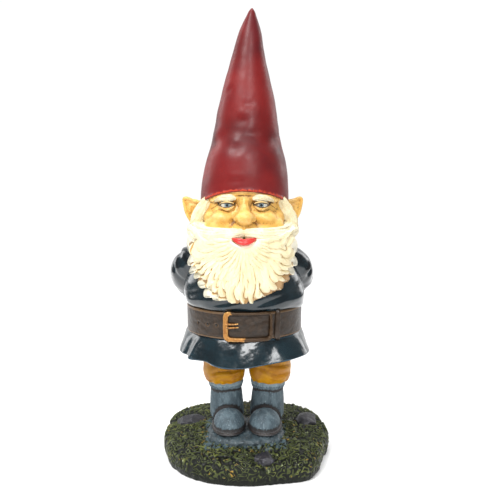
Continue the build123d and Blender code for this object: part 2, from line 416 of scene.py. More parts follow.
def resin(name, base, second, wash, brush, patch=7.0, hollows=(0.15, 1.0, 0.85), ridges=(0.4, 1.3, 0.7),
          gloss=(0.35, 0.55), grain=(0.45, 0.05), stretch=(1, 1, 1), extra=None, **constants):
    """Hand-painted resin: two base tones in patches, a dark wash in the grooves, dry brush on the ridges.

    hollows and ridges say from and to what relief the wash and the brush grow, and how far they cover.
    """
    paint = Paint(name)
    patches = paint.ramp(paint.noise(patch, 4, stretch, warp=0.6), 0.38, 0.62)
    colour = paint.mix(patches, linear(base), linear(second))
    streaks = paint.noise(patch / 5, 5, stretch, warp=0.3)
    relief = paint.math("ADD", paint.attribute("relief"), paint.ramp(streaks, 0.2, 0.8, -0.35, 0.35))
    worn = paint.ramp(paint.math("MULTIPLY", relief, -1.0), *ridges[:2], 0.0, ridges[2])
    colour = paint.mix(worn, colour, linear(brush))
    colour = paint.mix(paint.ramp(relief, *hollows[:2], 0.0, hollows[2]), colour, linear(wash))
    if extra:
        colour = extra(paint, colour)
    paint.bump(paint.noise(grain[0], 4, stretch), grain[1])
    return paint.done(colour, paint.ramp(streaks, 0.3, 0.7, *gloss), **constants)


# ---------------------------------------------------------------- measures of the figure
crown = box("hat")[1][2]
face_x = middle("head")[0]
brim_turn = math.radians(27)
brim_middle = box("hat")[0][2] + box("hat")[1][1] * math.tan(brim_turn)
waist = box("tunic_skirt")[1][2]


def brim_height(y):
    """The height of the hat's slanting edge at a depth y."""
    return brim_middle - y * math.tan(brim_turn)


# ---------------------------------------------------------------- hat
def rough_edge(paint, colour):
    """Orange-red paint that has run along the hat's edge."""
    ragged = paint.math("ADD", paint.attribute("edge"),
                        paint.ramp(paint.noise(1.6, 4), 0.3, 0.7, -0.4, 0.3))
    colour = paint.mix(paint.ramp(ragged, 0.45, 0.8, 0.0, 0.85), colour, linear((206, 74, 36)))
    sheen = paint.ramp(paint.noise(60, 2), 0.4, 0.6, 0.0, 0.4)
    return paint.mix(sheen, colour, linear((156, 40, 38)))


def make_hat():
    half = extent("hat")[1][0]
    shape = points_of(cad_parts["hat"])
    tip_x, tip_y = shape[shape[:, 2].argmax(), :2]
    outline = [
        (0.0, 1.0), (0.08, 0.982), (0.16, 0.948), (0.24, 0.892), (0.32, 0.79), (0.36, 0.745),
        (0.42, 0.70), (0.49, 0.655), (0.56, 0.588), (0.65, 0.495), (0.73, 0.408), (0.81, 0.318),
        (0.89, 0.232), (0.96, 0.112), (0.99, 0.05), (1.0, 0.012),
    ]
    lean = [(0.0, 0.0), (0.3, 0.25), (0.6, 0.42), (0.8, 0.62), (1.0, 1.0)]
    around, rows, wall = 280, 250, 3.2
    angle = circle(around)
    outer = np.concatenate([[-0.012, 0.0], np.linspace(0.004, 1.0, rows)])
    inner = np.linspace(0.9, 0.0, 60)
    rings, edge = [], []
    for share, inset in [(s, wall) for s in inner] + [(s, 0.0) for s in outer]:
        height = (crown - brim_middle) * max(share, 0)
        level = brim_middle + height
        radius = max(half * smooth_curve(outline, np.array([max(share, 0.0)]))[0] - inset, 0.3)
        lean_here = smooth_curve(lean, np.array([max(share, 0.0)]))[0]
        x = face_x + (tip_x - face_x) * lean_here + radius * cos(angle)
        y = 0.6 + tip_y * lean_here + radius * 1.05 * sin(angle)
        slant = (1 - step(0.0, 0.55, share)) * (brim_height(y) - brim_middle)
        if share < 0:
            slant = slant - 1.0
        rings.append(xyz(x, y, level + slant))
        edge.append(np.full(around, bump(share, 0.0, 0.009) if inset == 0 else 0.0))
    hat = skinned("pointed_hat", rings)
    edge = np.concatenate([*edge, [0, 0]])
    dents = [
        (-1.78, 0.315, 0.22, 0.024, 0.8), (-1.30, 0.385, 0.24, 0.022, 0.5),
        (-1.62, 0.455, 0.20, 0.020, 0.55),
        (-1.38, 0.53, 0.22, 0.018, 0.4), (-2.7, 0.33, 0.30, 0.03, 1.5), (-0.5, 0.35, 0.35, 0.025, 0.9),
        (0.6, 0.38, 0.35, 0.02, 1.2), (1.6, 0.31, 0.4, 0.02, 1.3), (2.5, 0.42, 0.35, 0.02, 1.1),
        (-1.75, 0.165, 0.16, 0.016, 0.5), (1.1, 0.55, 0.3, 0.014, 0.7), (-2.4, 0.6, 0.25, 0.02, 0.4),
    ]

    def worn(points, normals):
        share = (points[:, 2] - brim_middle) / (crown - brim_middle)
        turn = np.arctan2(points[:, 1], points[:, 0] - face_x)
        amount = 0.5 * noise(points, (28, 28, 24), 3) + 0.16 * noise(points, (11, 11, 9), 4)
        amount += 0.035 * layered(points, 3.5, 2, 5)
        for at, height, spread, rise, depth in dents:
            slope = height + 0.02 * angle_gap(turn, at)
            fold = bump(angle_gap(turn, at), 0, spread)
            amount -= depth * fold * (bump(share, slope, rise)
                                      - 0.6 * bump(share, slope + 1.9 * rise, rise))
        fade = 1 - step(0.93, 1.0, share)
        lip = edge * (0.35 + 0.55 * noise(points, 2.6, 8))
        return amount * fade + lip

    push(hat, worn)
    mark(hat, "edge", edge)
    maroon = resin(
        "hat_paint", (92, 17, 18), (76, 16, 22), (48, 11, 16), (120, 34, 34), patch=26,
        hollows=(0.15, 1.0, 0.6), ridges=(0.5, 1.3, 0.3), gloss=(0.40, 0.50), grain=(0.8, 0.02),
        extra=rough_edge, Coat_Weight=0.05, Coat_Roughness=0.25, Specular_IOR_Level=0.3,
    )
    return finish_piece(hat, maroon, "hat_felt", "hat", reach=14, depth=0.30)


# ---------------------------------------------------------------- face
def make_head(skin):
    nose_y = box("head")[0][1]
    brow_z = middle("brow_left")[2] - 1.5
    eye = {name: middle(f"eye_{name}") for name in SIDES}
    clay = Clay()
    add_blob(clay, (face_x, -0.8, 192), (31.0, 31.2, 32), rows=60, around=90)
    nose = np.array([face_x + 0.5, nose_y + 6.2, 194.6])
    bridge = np.array([nose + (0, 12.2, 12.5), nose + (0, 8.0, 7.5), nose + (0, 2.5, 2.5), nose])
    add_tube(clay, smooth_path(bridge, 12), np.linspace(3.4, 4.8, 12), FRONT, 20)
    add_blob(clay, nose, (6.5, 6.0, 5.7))
    for side in SIDES.values():
        add_blob(clay, nose + (side * 5.2, 3.0, -1.2), (3.2, 3.8, 3.0))
        add_blob(clay, (face_x + side * 15.0, -25.6, 192.4), (9.2, 8.6, 6.0), (0, side * 12, 0))
        add_blob(clay, (face_x + side * 23.0, -17.5, 190.6), (6.5, 8.0, 7.0))
        ridge_line = [(4.5, -28.4, 207.8), (11.0, -29.0, 208.6), (17.5, -26.4, 207.2), (23.5, -20.0, 203.5)]
        ridge_line = np.array([(face_x + side * x, y, z) for x, y, z in ridge_line])
        add_tube(clay, smooth_path(ridge_line, 14), np.linspace(2.6, 2.2, 14), FRONT, 14)
        add_blob(clay, (face_x + side * 15.0, -24.5, 186.5), (14.0, 9.0, 8.0))
    add_blob(clay, (face_x, -34.0, 186.5), (9.0, 7.0, 6.0))
    add_blob(clay, (face_x, 0.4, 206.0), (30.6, 30.4, 22.0), rows=60, around=90)
    turns = np.linspace(-2.9, -0.24, 60)
    rim = xyz(face_x + 29.4 * cos(turns), 30.4 * sin(turns), 0)
    rim[:, 2] = brim_height(rim[:, 1]) + 0.4
    add_tube(clay, rim, np.full(60, 2.3), UP, 14)
    add_blob(clay, (face_x, -27.8, 207.0), (5.2, 3.6, 3.4))
    head = clay.make("head_and_face")
    fuse(head, 0.5, relax=9)

    def sockets(points, normals):
        amount = np.zeros(len(points))
        for centre in eye.values():
            gap = points - centre
            amount -= 3.4 * np.exp(-((gap[:, 0] / 6.6) ** 2) - (gap[:, 2] / 2.9) ** 2) * (points[:, 1] < 0)
        return amount

    push(head, sockets)
    lids = Clay()
    lids.add(points_of(head), np.array([list(p.vertices) for p in head.data.polygons]))
    across = np.linspace(-1, 1, 17)
    lashes = []
    for name, side in SIDES.items():
        centre = eye[name] + (0, 0.4, 0)
        for rise, bulge, thick in [(2.05, 5.2, 1.05), (-1.75, 5.1, 0.75), (-3.3, 5.0, 0.95)]:
            lid = np.stack(
                [
                    centre[0] + across * 5.9,
                    centre[1] - bulge + 3.0 * across**2 + side * across * 1.5,
                    centre[2] + rise * (1 - across**2) - side * across * 0.4,
                ],
                1,
            )
            add_tube(lids, lid, thick * (1 - 0.5 * across**2), FRONT, 12)
            if rise > -3:
                lashes.append(np.stack([lid[:, 0] + side * 0.3, lid[:, 2] - np.sign(rise) * thick * 0.45],
                                       1))
        lashes.append(np.stack([centre[0] + side * np.linspace(5.4, 6.8, 9), centre[2]
                                - np.linspace(0.2, -0.5, 9)], 1))
    bpy.data.objects.remove(head)
    head = lids.make("head_and_face")
    fuse(head, 0.42, relax=4)
    creases = []
    for name, side in SIDES.items():
        x, _, z = eye[name]
        for drop in (2.6, 0.2, -2.6):
            creases.append([(x + side * 7.4, z + drop * 0.6), (x + side * 11.4, z + drop * 1.7)])
        creases.append([(x - side * 5.0, z - 3.6), (x, z - 5.0), (x + side * 6.0, z - 3.8)])
        creases.append([(x - side * 6.4, z - 8.0), (x - side * 6.6, z - 10.5), (x - side * 3.5, z - 14)])
        creases.append([(x - side * 6.0, z + 2.0), (x - side * 7.6, z - 1.0), (x - side * 7.0, z - 3.5)])
    for rise, wide in ((4.0, 13), (6.2, 10)):
        creases.append(
            [(face_x - wide, brow_z + rise - 1), (face_x, brow_z + rise),
             (face_x + wide, brow_z + rise - 1)]
        )
    creases.append([(face_x - 2.0, brow_z - 2.0), (face_x - 1.6, brow_z + 1.6)])
    creases.append([(face_x + 1.8, brow_z - 2.0), (face_x + 1.5, brow_z + 1.6)])

    def line_gap(points, line):
        gap = np.full(len(points), 99.0)
        for x, z in smooth_path(line, 48):
            gap = np.minimum(gap, np.hypot(points[:, 0] - x, points[:, 2] - z))
        return gap

    def wrinkled(points, normals):
        amount = 0.16 * layered(points, 4.5, 3, 11)
        front = points[:, 1] < -5
        for crease in creases:
            amount -= 0.36 * bump(line_gap(points, crease), 0, 0.7) * front
        return amount

    push(head, wrinkled)
    points = points_of(head)
    lash = np.max([bump(line_gap(points, line[::4]), 0, 0.75) for line in lashes], axis=0)
    mark(head, "lash", lash * (points[:, 1] < -20))
    return finish_piece(head, skin, "skin", "head", reach=9, depth=0.30)


def make_eyes():
    """Eyeballs with a grey-blue iris and a pupil."""
    for name in SIDES:
        centre = middle(f"eye_{name}")
        radius = extent(f"eye_{name}")[1][0]
        clay = Clay()
        add_blob(clay, centre, (radius, radius, radius), (90, 0, 0), rows=48, around=64)
        ball = clay.make(f"eyeball_{name}")
        gap = points_of(ball) - centre
        aside = np.hypot(gap[:, 0], gap[:, 2] + 0.2)
        mark(ball, "iris", np.where(gap[:, 1] < 0, 1 - aside / 2.0, -1.0))
        paint = Paint(f"eye_paint_{name}")
        iris = paint.attribute("iris")
        white = paint.mix(paint.noise(1.5, 3), linear((214, 212, 200)), linear((196, 190, 172)))
        streak = paint.ramp(paint.noise(0.5, 3), 0.35, 0.65)
        blue = paint.mix(streak, linear((86, 112, 124)), linear((142, 164, 170)))
        colour = paint.mix(paint.ramp(iris, 0.0, 0.12), white, blue)
        colour = paint.mix(paint.ramp(iris, 0.45, 0.55), colour, linear((18, 20, 24)))
        paint.bump(paint.noise(0.6), 0.02)
        gloss = paint.ramp(paint.noise(2.0), 0.3, 0.7, 0.10, 0.22)
        finish_piece(
            ball, paint.done(colour, gloss, Coat_Weight=0.6, Coat_Roughness=0.08), "eye_paint",
            f"eye_{name}"
        )


def make_ears(skin):
    for name, side in SIDES.items():
        low, high = box(f"ear_{name}")
        outer = high[0] - 2.4 if side > 0 else low[0]
        root = outer - side * 15.0
        y = (low[1] + high[1]) / 2
        z = high[2]
        clay = Clay()
        shell = [
            (root, y - 1.0, z - 5.0), (root + side * 7.0, y - 0.8, z - 3.4),
            (outer - side * 3.6, y - 0.4, z - 1.7),
            (outer - side * 1.4, y, z - 2.4), (outer - side * 1.7, y, z - 6.5),
            (outer - side * 3.2, y, z - 13.0),
            (outer - side * 6.6, y - 0.4, z - 19.0), (outer - side * 10.5, y - 0.8, low[2] + 2.6),
            (root + side * 1.0, y - 1.0, low[2] + 4.6),
        ]
        add_tube(clay, smooth_path(shell, 50), np.full(50, 1.35), FRONT, 14)
        add_blob(clay, (root + side * 6.0, y + 1.0, z - 10.5), (7.4, 1.5, 8.4), (0, side * 18, 0))
        add_blob(clay, (root + side * 10.0, y + 0.9, z - 6.0), (4.6, 1.4, 4.4), (0, side * 30, 0))
        add_blob(clay, (root + side * 4.0, y - 0.4, low[2] + 5.4), (4.4, 2.2, 3.6))
        add_blob(clay, (root + side * 1.6, y - 0.6, z - 12.5), (2.6, 2.4, 4.2))
        fold = [
            (root + side * 4.0, y - 0.2, z - 7.5), (root + side * 8.4, y - 0.3, z - 7.2),
            (root + side * 9.2, y - 0.3, z - 12.5),
        ]
        add_tube(clay, smooth_path(fold, 16), np.linspace(0.8, 1.1, 16), FRONT, 10)
        ear = clay.make(f"pointed_ear_{name}")
        fuse(ear, 0.35, relax=7)
        roughen(ear, (0.12, 3.0, 3, 21))
        finish_piece(ear, skin, "skin", f"ear_{name}", reach=12, depth=0.8)


# ---------------------------------------------------------------- hair
def ridge(turns, sharp=0.7):
    """A rounded ridge for each whole number, with sharp grooves between."""
    return np.abs(sin(math.pi * turns)) ** sharp


def add_tress(clay, stations, strands, depth, seed, rows=150, around=168, ragged=2.0):
    """A tuft of hair: a flat tapering tube, grooved along its length, through stations of
    (x, y, z, half its height, half its thickness). strands is a multiple of 3."""
    curve = smooth_path(stations, rows)
    path = curve[:, :3]
    tangent = unit(np.gradient(path, axis=0))
    across = unit(np.cross(tangent, FRONT))
    out = np.cross(across, tangent)
    t, angle = np.meshgrid(np.linspace(0, 1, rows), circle(around), indexing="ij")
    length = np.linalg.norm(np.diff(path, axis=0), axis=1).sum()
    field = xyz(cos(angle) * 1.6, sin(angle) * 1.6, t * length / 13).reshape(-1, 3)
    sway = (1.3 * noise(field, 1.0, seed) + 0.5 * noise(field * 2.2, 1.0, seed + 1)).reshape(t.shape)
    turns = angle / TURN * strands + 1.6 * sway
    grooves = 0.65 * ridge(turns / 3) + 0.35 * ridge(turns) - 0.55
    high, thick = curve[:, 3][:, None], curve[:, 4][:, None]
    swell = 1 + depth * grooves / np.maximum(np.minimum(high, thick), 0.8)
    ring = (high * cos(angle) * swell)[..., None] * across[:, None]
    ring = ring + (thick * sin(angle) * swell)[..., None] * out[:, None]
    reach = ragged * (grooves + 0.5 * sway) * step(0.72, 1.0, t)
    add_skin(clay, path[:, None] + ring + reach[..., None] * tangent[:, None])


def add_lock(clay, path, width, strands, draws, outward):
    """A lock of hair: strands that lie side by side along a path and twist a little."""
    count = len(path)
    t = np.linspace(0, 1, count)
    tangent = unit(np.gradient(path, axis=0))
    outward = unit(np.broadcast_to(outward, path.shape))
    across = unit(np.cross(tangent, outward))
    up = np.cross(across, tangent)
    profile = sin(np.clip(t * 0.86 + 0.14, 0, 1) * math.pi) ** 0.6
    twist = draws.uniform(-0.9, 0.9)
    for i in range(strands):
        spread = (i + 0.5) / strands * 2 - 1
        phase = spread * 1.35 + twist * (t - 0.5)
        offset = width * profile * 0.85
        wobble = 0.22 * width * sin(t * TURN + draws.uniform(0, TURN))
        line = path + across * (offset * sin(phase) + wobble)[:, None]
        line = line + up * (offset * 0.55 * cos(phase))[:, None]
        reach = draws.uniform(0.86, 1.0)
        line = np.stack([np.interp(t * reach, t, line[:, k]) for k in range(3)], 1)
        radius = np.maximum(width * 0.5 * profile * draws.uniform(0.85, 1.15), 0.28)
        radius = radius * (1 - 0.75 * step(0.75, 1.0, t))
        add_tube(clay, line, radius, outward, 8)


class Locks:
    """A layer of pointed locks that spread from the mouth, between two shares of the beard's length."""

    def __init__(self, seed, count, start, end, uneven=0.15):
        draws = np.random.default_rng(seed)
        steps = draws.uniform(0.6, 1.4, count)
        edges = np.concatenate([[0], np.cumsum(steps)]) / steps.sum()
        self.edges = (edges * 2 - 1) * 2.3
        self.start = start * draws.uniform(0.6, 1.1, count)
        self.end = end * draws.uniform(1 - uneven, 1.0, count)
        self.rise = draws.uniform(0.7, 1.2, count)
        self.strands = draws.integers(2, 5, count)
        self.reach = draws.uniform(0.93, 1.0, count)
        self.seed = seed

    def place(self, theta, t):
        """The lock at each place, and how far across it the place lies, from -1 to 1."""
        flat = xyz(theta * 1.1, t * 1.9, 0)
        sway = 0.42 * noise(flat, 1.0, self.seed) + 0.09 * noise(flat * 2.3, 1.0, self.seed + 1)
        bent = theta + sway * t**0.8
        which = np.clip(np.searchsorted(self.edges, bent) - 1, 0, len(self.end) - 1)
        width = self.edges[which + 1] - self.edges[which]
        return which, (bent - self.edges[which]) / width * 2 - 1

    def height(self, theta, t):
        which, s = self.place(theta, t)
        run = np.clip((t - self.start[which]) / (self.end[which] - self.start[which]), 0, 1.3)
        point = np.sqrt(np.clip(1 - run**6, 0.003, 1))
        cross = np.clip(1 - np.minimum(np.abs(s) / point, 1.5) ** 2.6, -1, 1)
        deep = 0.5 + 1.5 * t**0.7
        fine = ridge((s * 0.5 + 0.5) * self.strands[which] + 0.25 * s**2) - 0.6
        finer = ridge((s * 0.5 + 0.5) * self.strands[which] * 2.3) - 0.6
        body = deep * self.rise[which] * (cross - 0.6) + (0.42 * fine + 0.14 * finer) * (0.5 + 0.5 * t)
        return body - 3.0 * (1 - step(0.0, 0.15, run)) - 1.2 * step(0.75, 1.0, run) - 6.0 * (run > 1)


beard_outline = [
    (132.0, 11.0, 8.0, -37.0), (142.0, 27.0, 17.0, -30.5), (154.0, 36.5, 25.0, -23.5),
    (168.0, 41.0, 31.0, -18.5), (182.0, 40.5, 31.0, -17.0), (196.0, 33.0, 25.0, -14.0),
]


def beard_depth(x, z):
    """The depth y of the beard's front at a place, and the outward direction there."""
    wide, deep, back = (smooth_curve([(row[0], row[k]) for row in beard_outline], z) for k in (1, 2, 3))
    share = np.clip((x - face_x) / wide, -0.985, 0.985)
    lift = np.sqrt(1 - share**2)
    outward = xyz(share / wide, -lift / deep, -0.012 + 0 * z)
    return back - deep * lift, unit(outward)


def make_beard():
    mouth = np.array([face_x, 178.9])
    floor = box("beard")[0][2]
    hem = Locks(301, 27, 0.0, 1.0, 0.0)
    layers = [Locks(311, 28, 0.16, 0.80), Locks(321, 26, 0.02, 0.58), Locks(331, 22, 0.0, 0.36)]
    reach = [(-2.3, 41), (-1.9, 42), (-1.5, 42.5), (-1.1, 47.5), (-0.8, 49.5), (-0.5, 50), (-0.25, 49),
             (0.0, 48),
             (0.25, 47.5), (0.6, 48.5), (0.9, 46), (1.2, 43.5), (1.5, 41.5), (1.9, 41), (2.3, 40)]
    spread = np.linspace(-1.70, 1.70, 640)
    front, back = np.linspace(0, 1, 112), np.linspace(1, 0, 18)
    theta, along = np.meshgrid(spread, np.concatenate([front, back]), indexing="ij")
    shape = theta.shape
    theta, along = theta.ravel(), along.ravel()
    behind = np.tile(np.concatenate([0 * front, 1 + 0 * back]), shape[0])
    limit = smooth_curve(reach, theta)
    which, s = hem.place(theta, 0 * theta + 1)
    limit = limit * 1.03 * hem.reach[which] * (1 - 0.07 * np.abs(s) ** 2.5)
    gap = 1 / np.hypot(sin(theta) / 9.3, cos(theta) / np.where(cos(theta) > 0, 3.6, 5.6))
    radius = gap + (limit - gap) * along
    t = radius / limit
    height = hem.height(theta, np.minimum(t, 0.999))
    for layer, locks in enumerate(layers):
        height = np.maximum(height, 0.75 * (layer + 1) + locks.height(theta, t))
    height = height * step(0.0, 0.10, along)
    height = height - 0.8 * (1 - step(0.0, 0.2, along)) - 1.6 * step(0.93, 1.0, along) ** 2
    x, z = mouth[0] + radius * sin(theta), mouth[1] - radius * cos(theta)
    z = np.maximum(z, floor + 0.3 + 0.3 * along)
    y, outward = beard_depth(x, z)
    place = xyz(x, y, z) + outward * (height - 1.6)[:, None] * (1 - behind)[:, None]
    place[:, 1] -= (6.0 * bump(theta, -0.7, 0.55) + 3.0 * bump(theta, 0.8, 0.5)) * step(0.35, 0.85, along)
    rear = place[:, 1] + 5 + 4 * (1 - along)
    rear += np.maximum(box("beard")[1][1] - rear, 0) * step(150, 168, z)
    place[:, 1] = np.where(behind > 0, rear, place[:, 1])
    place[:, 0] = face_x + (place[:, 0] - face_x) * (1 - 0.3 * behind * (1 - along))
    beard = skinned("beard_locks", place.reshape(*shape, 3))
    push(beard, lambda points, normals: 0.10 * noise(points, 1.6, 53) * (normals[:, 1] < 0.2))
    tips = step(0.6, 0.9, along) * (1 - step(0.94, 1.0, along)) * (1 - behind)
    mark(beard, "tips", np.concatenate([tips, [0, 0]]))

    def stained(paint, colour):
        """Yellow-brown wash that gathers towards the beard's tips."""
        grooves = paint.ramp(paint.attribute("relief"), -0.2, 0.8)
        spots = paint.ramp(paint.noise(6, 3), 0.45, 0.7)
        share = paint.math("MULTIPLY", paint.math("ADD", paint.attribute("tips"), spots), grooves)
        return paint.mix(paint.ramp(share, 0.1, 1.3, 0.0, 0.7), colour, linear((190, 140, 66)))

    cream = resin(
        "beard_paint", (240, 228, 190), (233, 218, 176), (164, 116, 58), (252, 247, 226), patch=10,
        hollows=(0.15, 1.1, 0.85), ridges=(0.1, 1.3, 0.8), gloss=(0.5, 0.65), grain=(0.7, 0.05),
        extra=stained,
    )
    return finish_piece(beard, cream, "beard_cream", "beard", reach=7, depth=0.38)


def make_moustache(white):
    front = box("moustache")[0][1]
    clay = Clay()
    for side in SIDES.values():
        sweep = [
            (0.2, front + 3.9, 184.0, 2.1, 1.5), (4.0, front + 2.2, 183.9, 2.8, 2.3),
            (12.0, front + 2.0, 183.2, 3.2, 2.8),
            (21.0, front + 5.6, 181.6, 4.0, 3.0), (28.5, front + 12.0, 180.7, 4.4, 3.0),
            (34.5, front + 20.5, 180.4, 4.2, 2.6),
            (38.0, front + 27.0, 181.5, 2.0, 1.6),
        ]
        upper = [
            (1.5, front + 3.8, 186.2, 0.9, 1.0), (9.0, front + 2.8, 186.3, 1.5, 1.7),
            (18.0, front + 5.4, 185.6, 1.8, 1.9),
            (27.0, front + 12.2, 185.2, 1.9, 1.9), (33.0, front + 20.0, 185.4, 1.6, 1.5),
            (36.4, front + 27.0, 186.6, 0.8, 0.8),
        ]
        jaw = [
            (0.5, -33, 179.5, 5, 8), (14, -32, 180, 6, 9), (26, -24, 180.5, 6.5, 9), (34, -13, 181, 6.5, 8),
            (36, -5, 181, 4, 5),
        ]
        narrow = 0.94 if side > 0 else 1.0
        for stations, strands, seed in ((sweep, 24, 401), (upper, 12, 411), (jaw, 24, 417)):
            stations = [(face_x + side * x * narrow, y, z, high, thick) for x, y, z, high,
                        thick in stations]
            add_tress(clay, stations, strands, 1.0, seed + side, ragged=1.6)
    moustache = clay.make("moustache_locks")
    fuse(moustache, 0.28)
    roughen(moustache, (0.05, (5.0, 3.0, 1.2), 1, 61))
    return finish_piece(moustache, white, "hair_white", "moustache", reach=7, depth=0.2)


def make_brows(white):
    for name, side in SIDES.items():
        low, high = box(f"brow_{name}")
        inner, outer = (low[0], high[0]) if side > 0 else (high[0], low[0])
        line = [
            (inner - side * 0.4, low[1] - 0.2, high[2] - 3.4, 1.0, 0.9),
            (inner + side * 3.2, low[1] - 1.0, high[2] - 2.6, 2.1, 1.3),
            (inner + side * 8.0, low[1] - 0.2, high[2] - 2.9, 1.9, 1.3),
            (inner + side * 12.0, low[1] + 2.2, high[2] - 4.3, 1.3, 1.1),
            (outer - side * 0.6, high[1] - 1.6, low[2] + 0.8, 0.6, 0.6),
        ]
        clay = Clay()
        add_tress(clay, line, 12, 0.85, 421 + side, rows=90, around=96, ragged=1.4)
        brow = clay.make(f"brow_hair_{name}")
        finish_piece(brow, white, "hair_white", f"brow_{name}", reach=4, depth=0.3)


def make_sideburns(white):
    for name, side in SIDES.items():
        line = [
            (26.2, -16.6, 205.0, 2.6, 1.2), (28.4, -15.6, 200.5, 4.0, 1.8), (31.0, -14.6, 195.5, 4.6, 2.3),
            (33.6, -13.4, 190.0, 4.8, 2.5), (35.6, -12.6, 184.0, 3.6, 2.0),
        ]
        line = [(face_x + side * x, y, z, high, thick) for x, y, z, high, thick in line]
        clay = Clay()
        add_tress(clay, line, 18, 0.9, 431 + side, rows=110, around=132, ragged=2.0)
        tuft = clay.make(f"sideburn_hair_{name}")
        finish_piece(tuft, white, "hair_white", f"sideburn_{name}", reach=5, depth=0.45)


def make_back_hair(white):
    draws = np.random.default_rng(31)
    clay = Clay()
    low, high = box("back_hair")
    add_blob(clay, (face_x, 4.0, 176), (30.5, 27.0, 17), rows=30, around=60)
    for i in range(46):
        theta = (i + draws.uniform(0.2, 0.8)) / 46 * math.pi * 1.02 - 0.03
        t = np.linspace(0, 1, 24)
        angle = theta + 0.10 * sin(t * TURN * draws.uniform(0.5, 1.0) + draws.uniform(0, TURN))
        radius = 30.5 + 1.8 * sin(t * math.pi) - 3.0 * t**3
        z = high[2] - 4 - t * (high[2] - 4 - low[2]) + draws.uniform(-1.5, 1.5)
        path = xyz(face_x + radius * cos(angle), 2.5 + radius * sin(angle), z)
        outward = xyz(cos(angle), sin(angle), 0)
        add_lock(clay, path, draws.uniform(1.9, 2.8), 3, draws, outward)
    hair = clay.make("back_hair_locks")
    fuse(hair, 0.5, relax=1)
    return finish_piece(hair, white, "hair_white", "back_hair", reach=6, depth=0.45)


def make_lips():
    low, _ = box("lips")
    (x, _, z), (half, _, _) = extent("lips")
    z += 0.9
    across = np.linspace(-1, 1, 31)
    clay = Clay()
    dip = 0.55 * bump(across, 0, 0.18)
    upper = xyz(x + across * half, low[1] + 1.1 + 3.4 * across**2, z + 0.95 - dip + 0.6 * across**2)
    lower = xyz(x + across * half * 0.9, low[1] + 0.9 + 3.4 * across**2, z - 1.15 + 1.7 * across**2)
    add_tube(clay, upper, 1.35 * (1 - 0.75 * across**2) - 0.1 * dip, FRONT, 16)
    add_tube(clay, lower, 1.65 * (1 - 0.75 * across**2), FRONT, 16)
    lips = clay.make("lips_red")
    fuse(lips, 0.2, relax=3)
    roughen(lips, (0.05, (0.7, 2, 2), 1, 71))
    red = resin(
        "lip_paint", (206, 40, 38), (214, 52, 46), (110, 16, 20), (236, 112, 98), patch=3,
        hollows=(0.1, 0.7, 0.8), ridges=(0.25, 0.8, 0.4), gloss=(0.25, 0.38), grain=(0.5, 0.03),
        Coat_Weight=0.3, Coat_Roughness=0.2,
    )
    return finish_piece(lips, red, "lip_paint", "lips", reach=8, depth=0.25)


# ---------------------------------------------------------------- tunic
def make_skirt(cloth):
    low, high = box("tunic_skirt")
    (x, _, _), (wide, deep, _) = extent("tunic_skirt")
    around, rows = 440, 64
    angle = circle(around)
    pleats = [
        (-2.95, 0.26, 1.2), (-2.64, 0.10, -1.4), (-2.46, 0.09, 2.8), (-2.22, 0.14, -3.0),
        (-1.75, 0.36, 1.8),
        (-1.25, 0.26, -1.6), (-0.62, 0.34, 1.4), (0.30, 0.22, -1.2), (0.62, 0.22, 1.6),
        (0.98, 0.22, -1.6), (1.4, 0.24, 2.2), (1.85, 0.22, -2.0), (2.3, 0.22, 2.0), (2.72, 0.22, -1.2),
    ]
    fold = sum(depth * bump(angle_gap(angle, at), 0, spread) for at, spread, depth in pleats)
    drop = 2.0 * bump(angle_gap(angle, -1.76), 0, 0.5) - 1.0 * bump(angle_gap(angle, -2.25), 0, 0.28)
    drop = drop - 2.4 * bump(angle_gap(angle, -0.6), 0, 0.5) + 0.4 * sin(3 * angle + 1)
    drop = drop - 0.9 * bump(angle_gap(angle, -2.6), 0, 0.3)
    bottom = low[2] + 2.2 - drop
    corner = 2.45 + 0.4 * step(-0.2, 0.4, sin(angle))
    squareness = (np.abs(cos(angle)) ** corner + np.abs(sin(angle)) ** corner) ** (-1 / corner)
    left_swell = 2.4 * bump(angle_gap(angle, 2.75), 0, 0.5)
    rings = []
    for t in np.linspace(0, 1, rows):
        flare = t ** (0.8 - 0.38 * step(-0.3, 0.5, sin(angle)))
        level = high[2] + 1.0 + (bottom - high[2] - 1.0) * t
        square = 1 + (squareness - 1) * flare
        rx = 41.0 + (wide - 2.4 - 41.0) * flare
        ry = 36.5 + (deep - 2.4 - 36.5) * flare
        radius = fold * (0.25 + 0.75 * t) * (0.15 + 0.85 * step(0, 0.4, t)) + left_swell * step(0, 0.3, t)
        rings.append(
            xyz(x + (rx * square + radius) * cos(angle), (ry * square + radius) * sin(angle), level)
        )
    wall = 2.6
    last = rings[-1]
    inward = xyz(cos(angle), sin(angle), 0)
    for depth, rise in [(0.5, -0.7), (1.3, -1.0), (2.1, -0.7)]:
        rings.append(last - inward * depth + UP * rise)
    for t in np.linspace(1, 0.25, 24):
        rings.append(rings[int(t * (rows - 1))] - inward * wall)
    skirt = skinned("tunic_skirt_cloth", rings[::-1])

    roughen(skirt, (0.42, (13, 13, 16), 1, 81), (0.08, 4.0, 2, 82))
    points = points_of(skirt)
    points[:, 0] = np.clip(points[:, 0], low[0] - 0.8, high[0] + 0.8)
    set_points(skirt, points)
    return finish_piece(skirt, cloth, "tunic_cloth", "tunic_skirt", reach=12, depth=0.4)


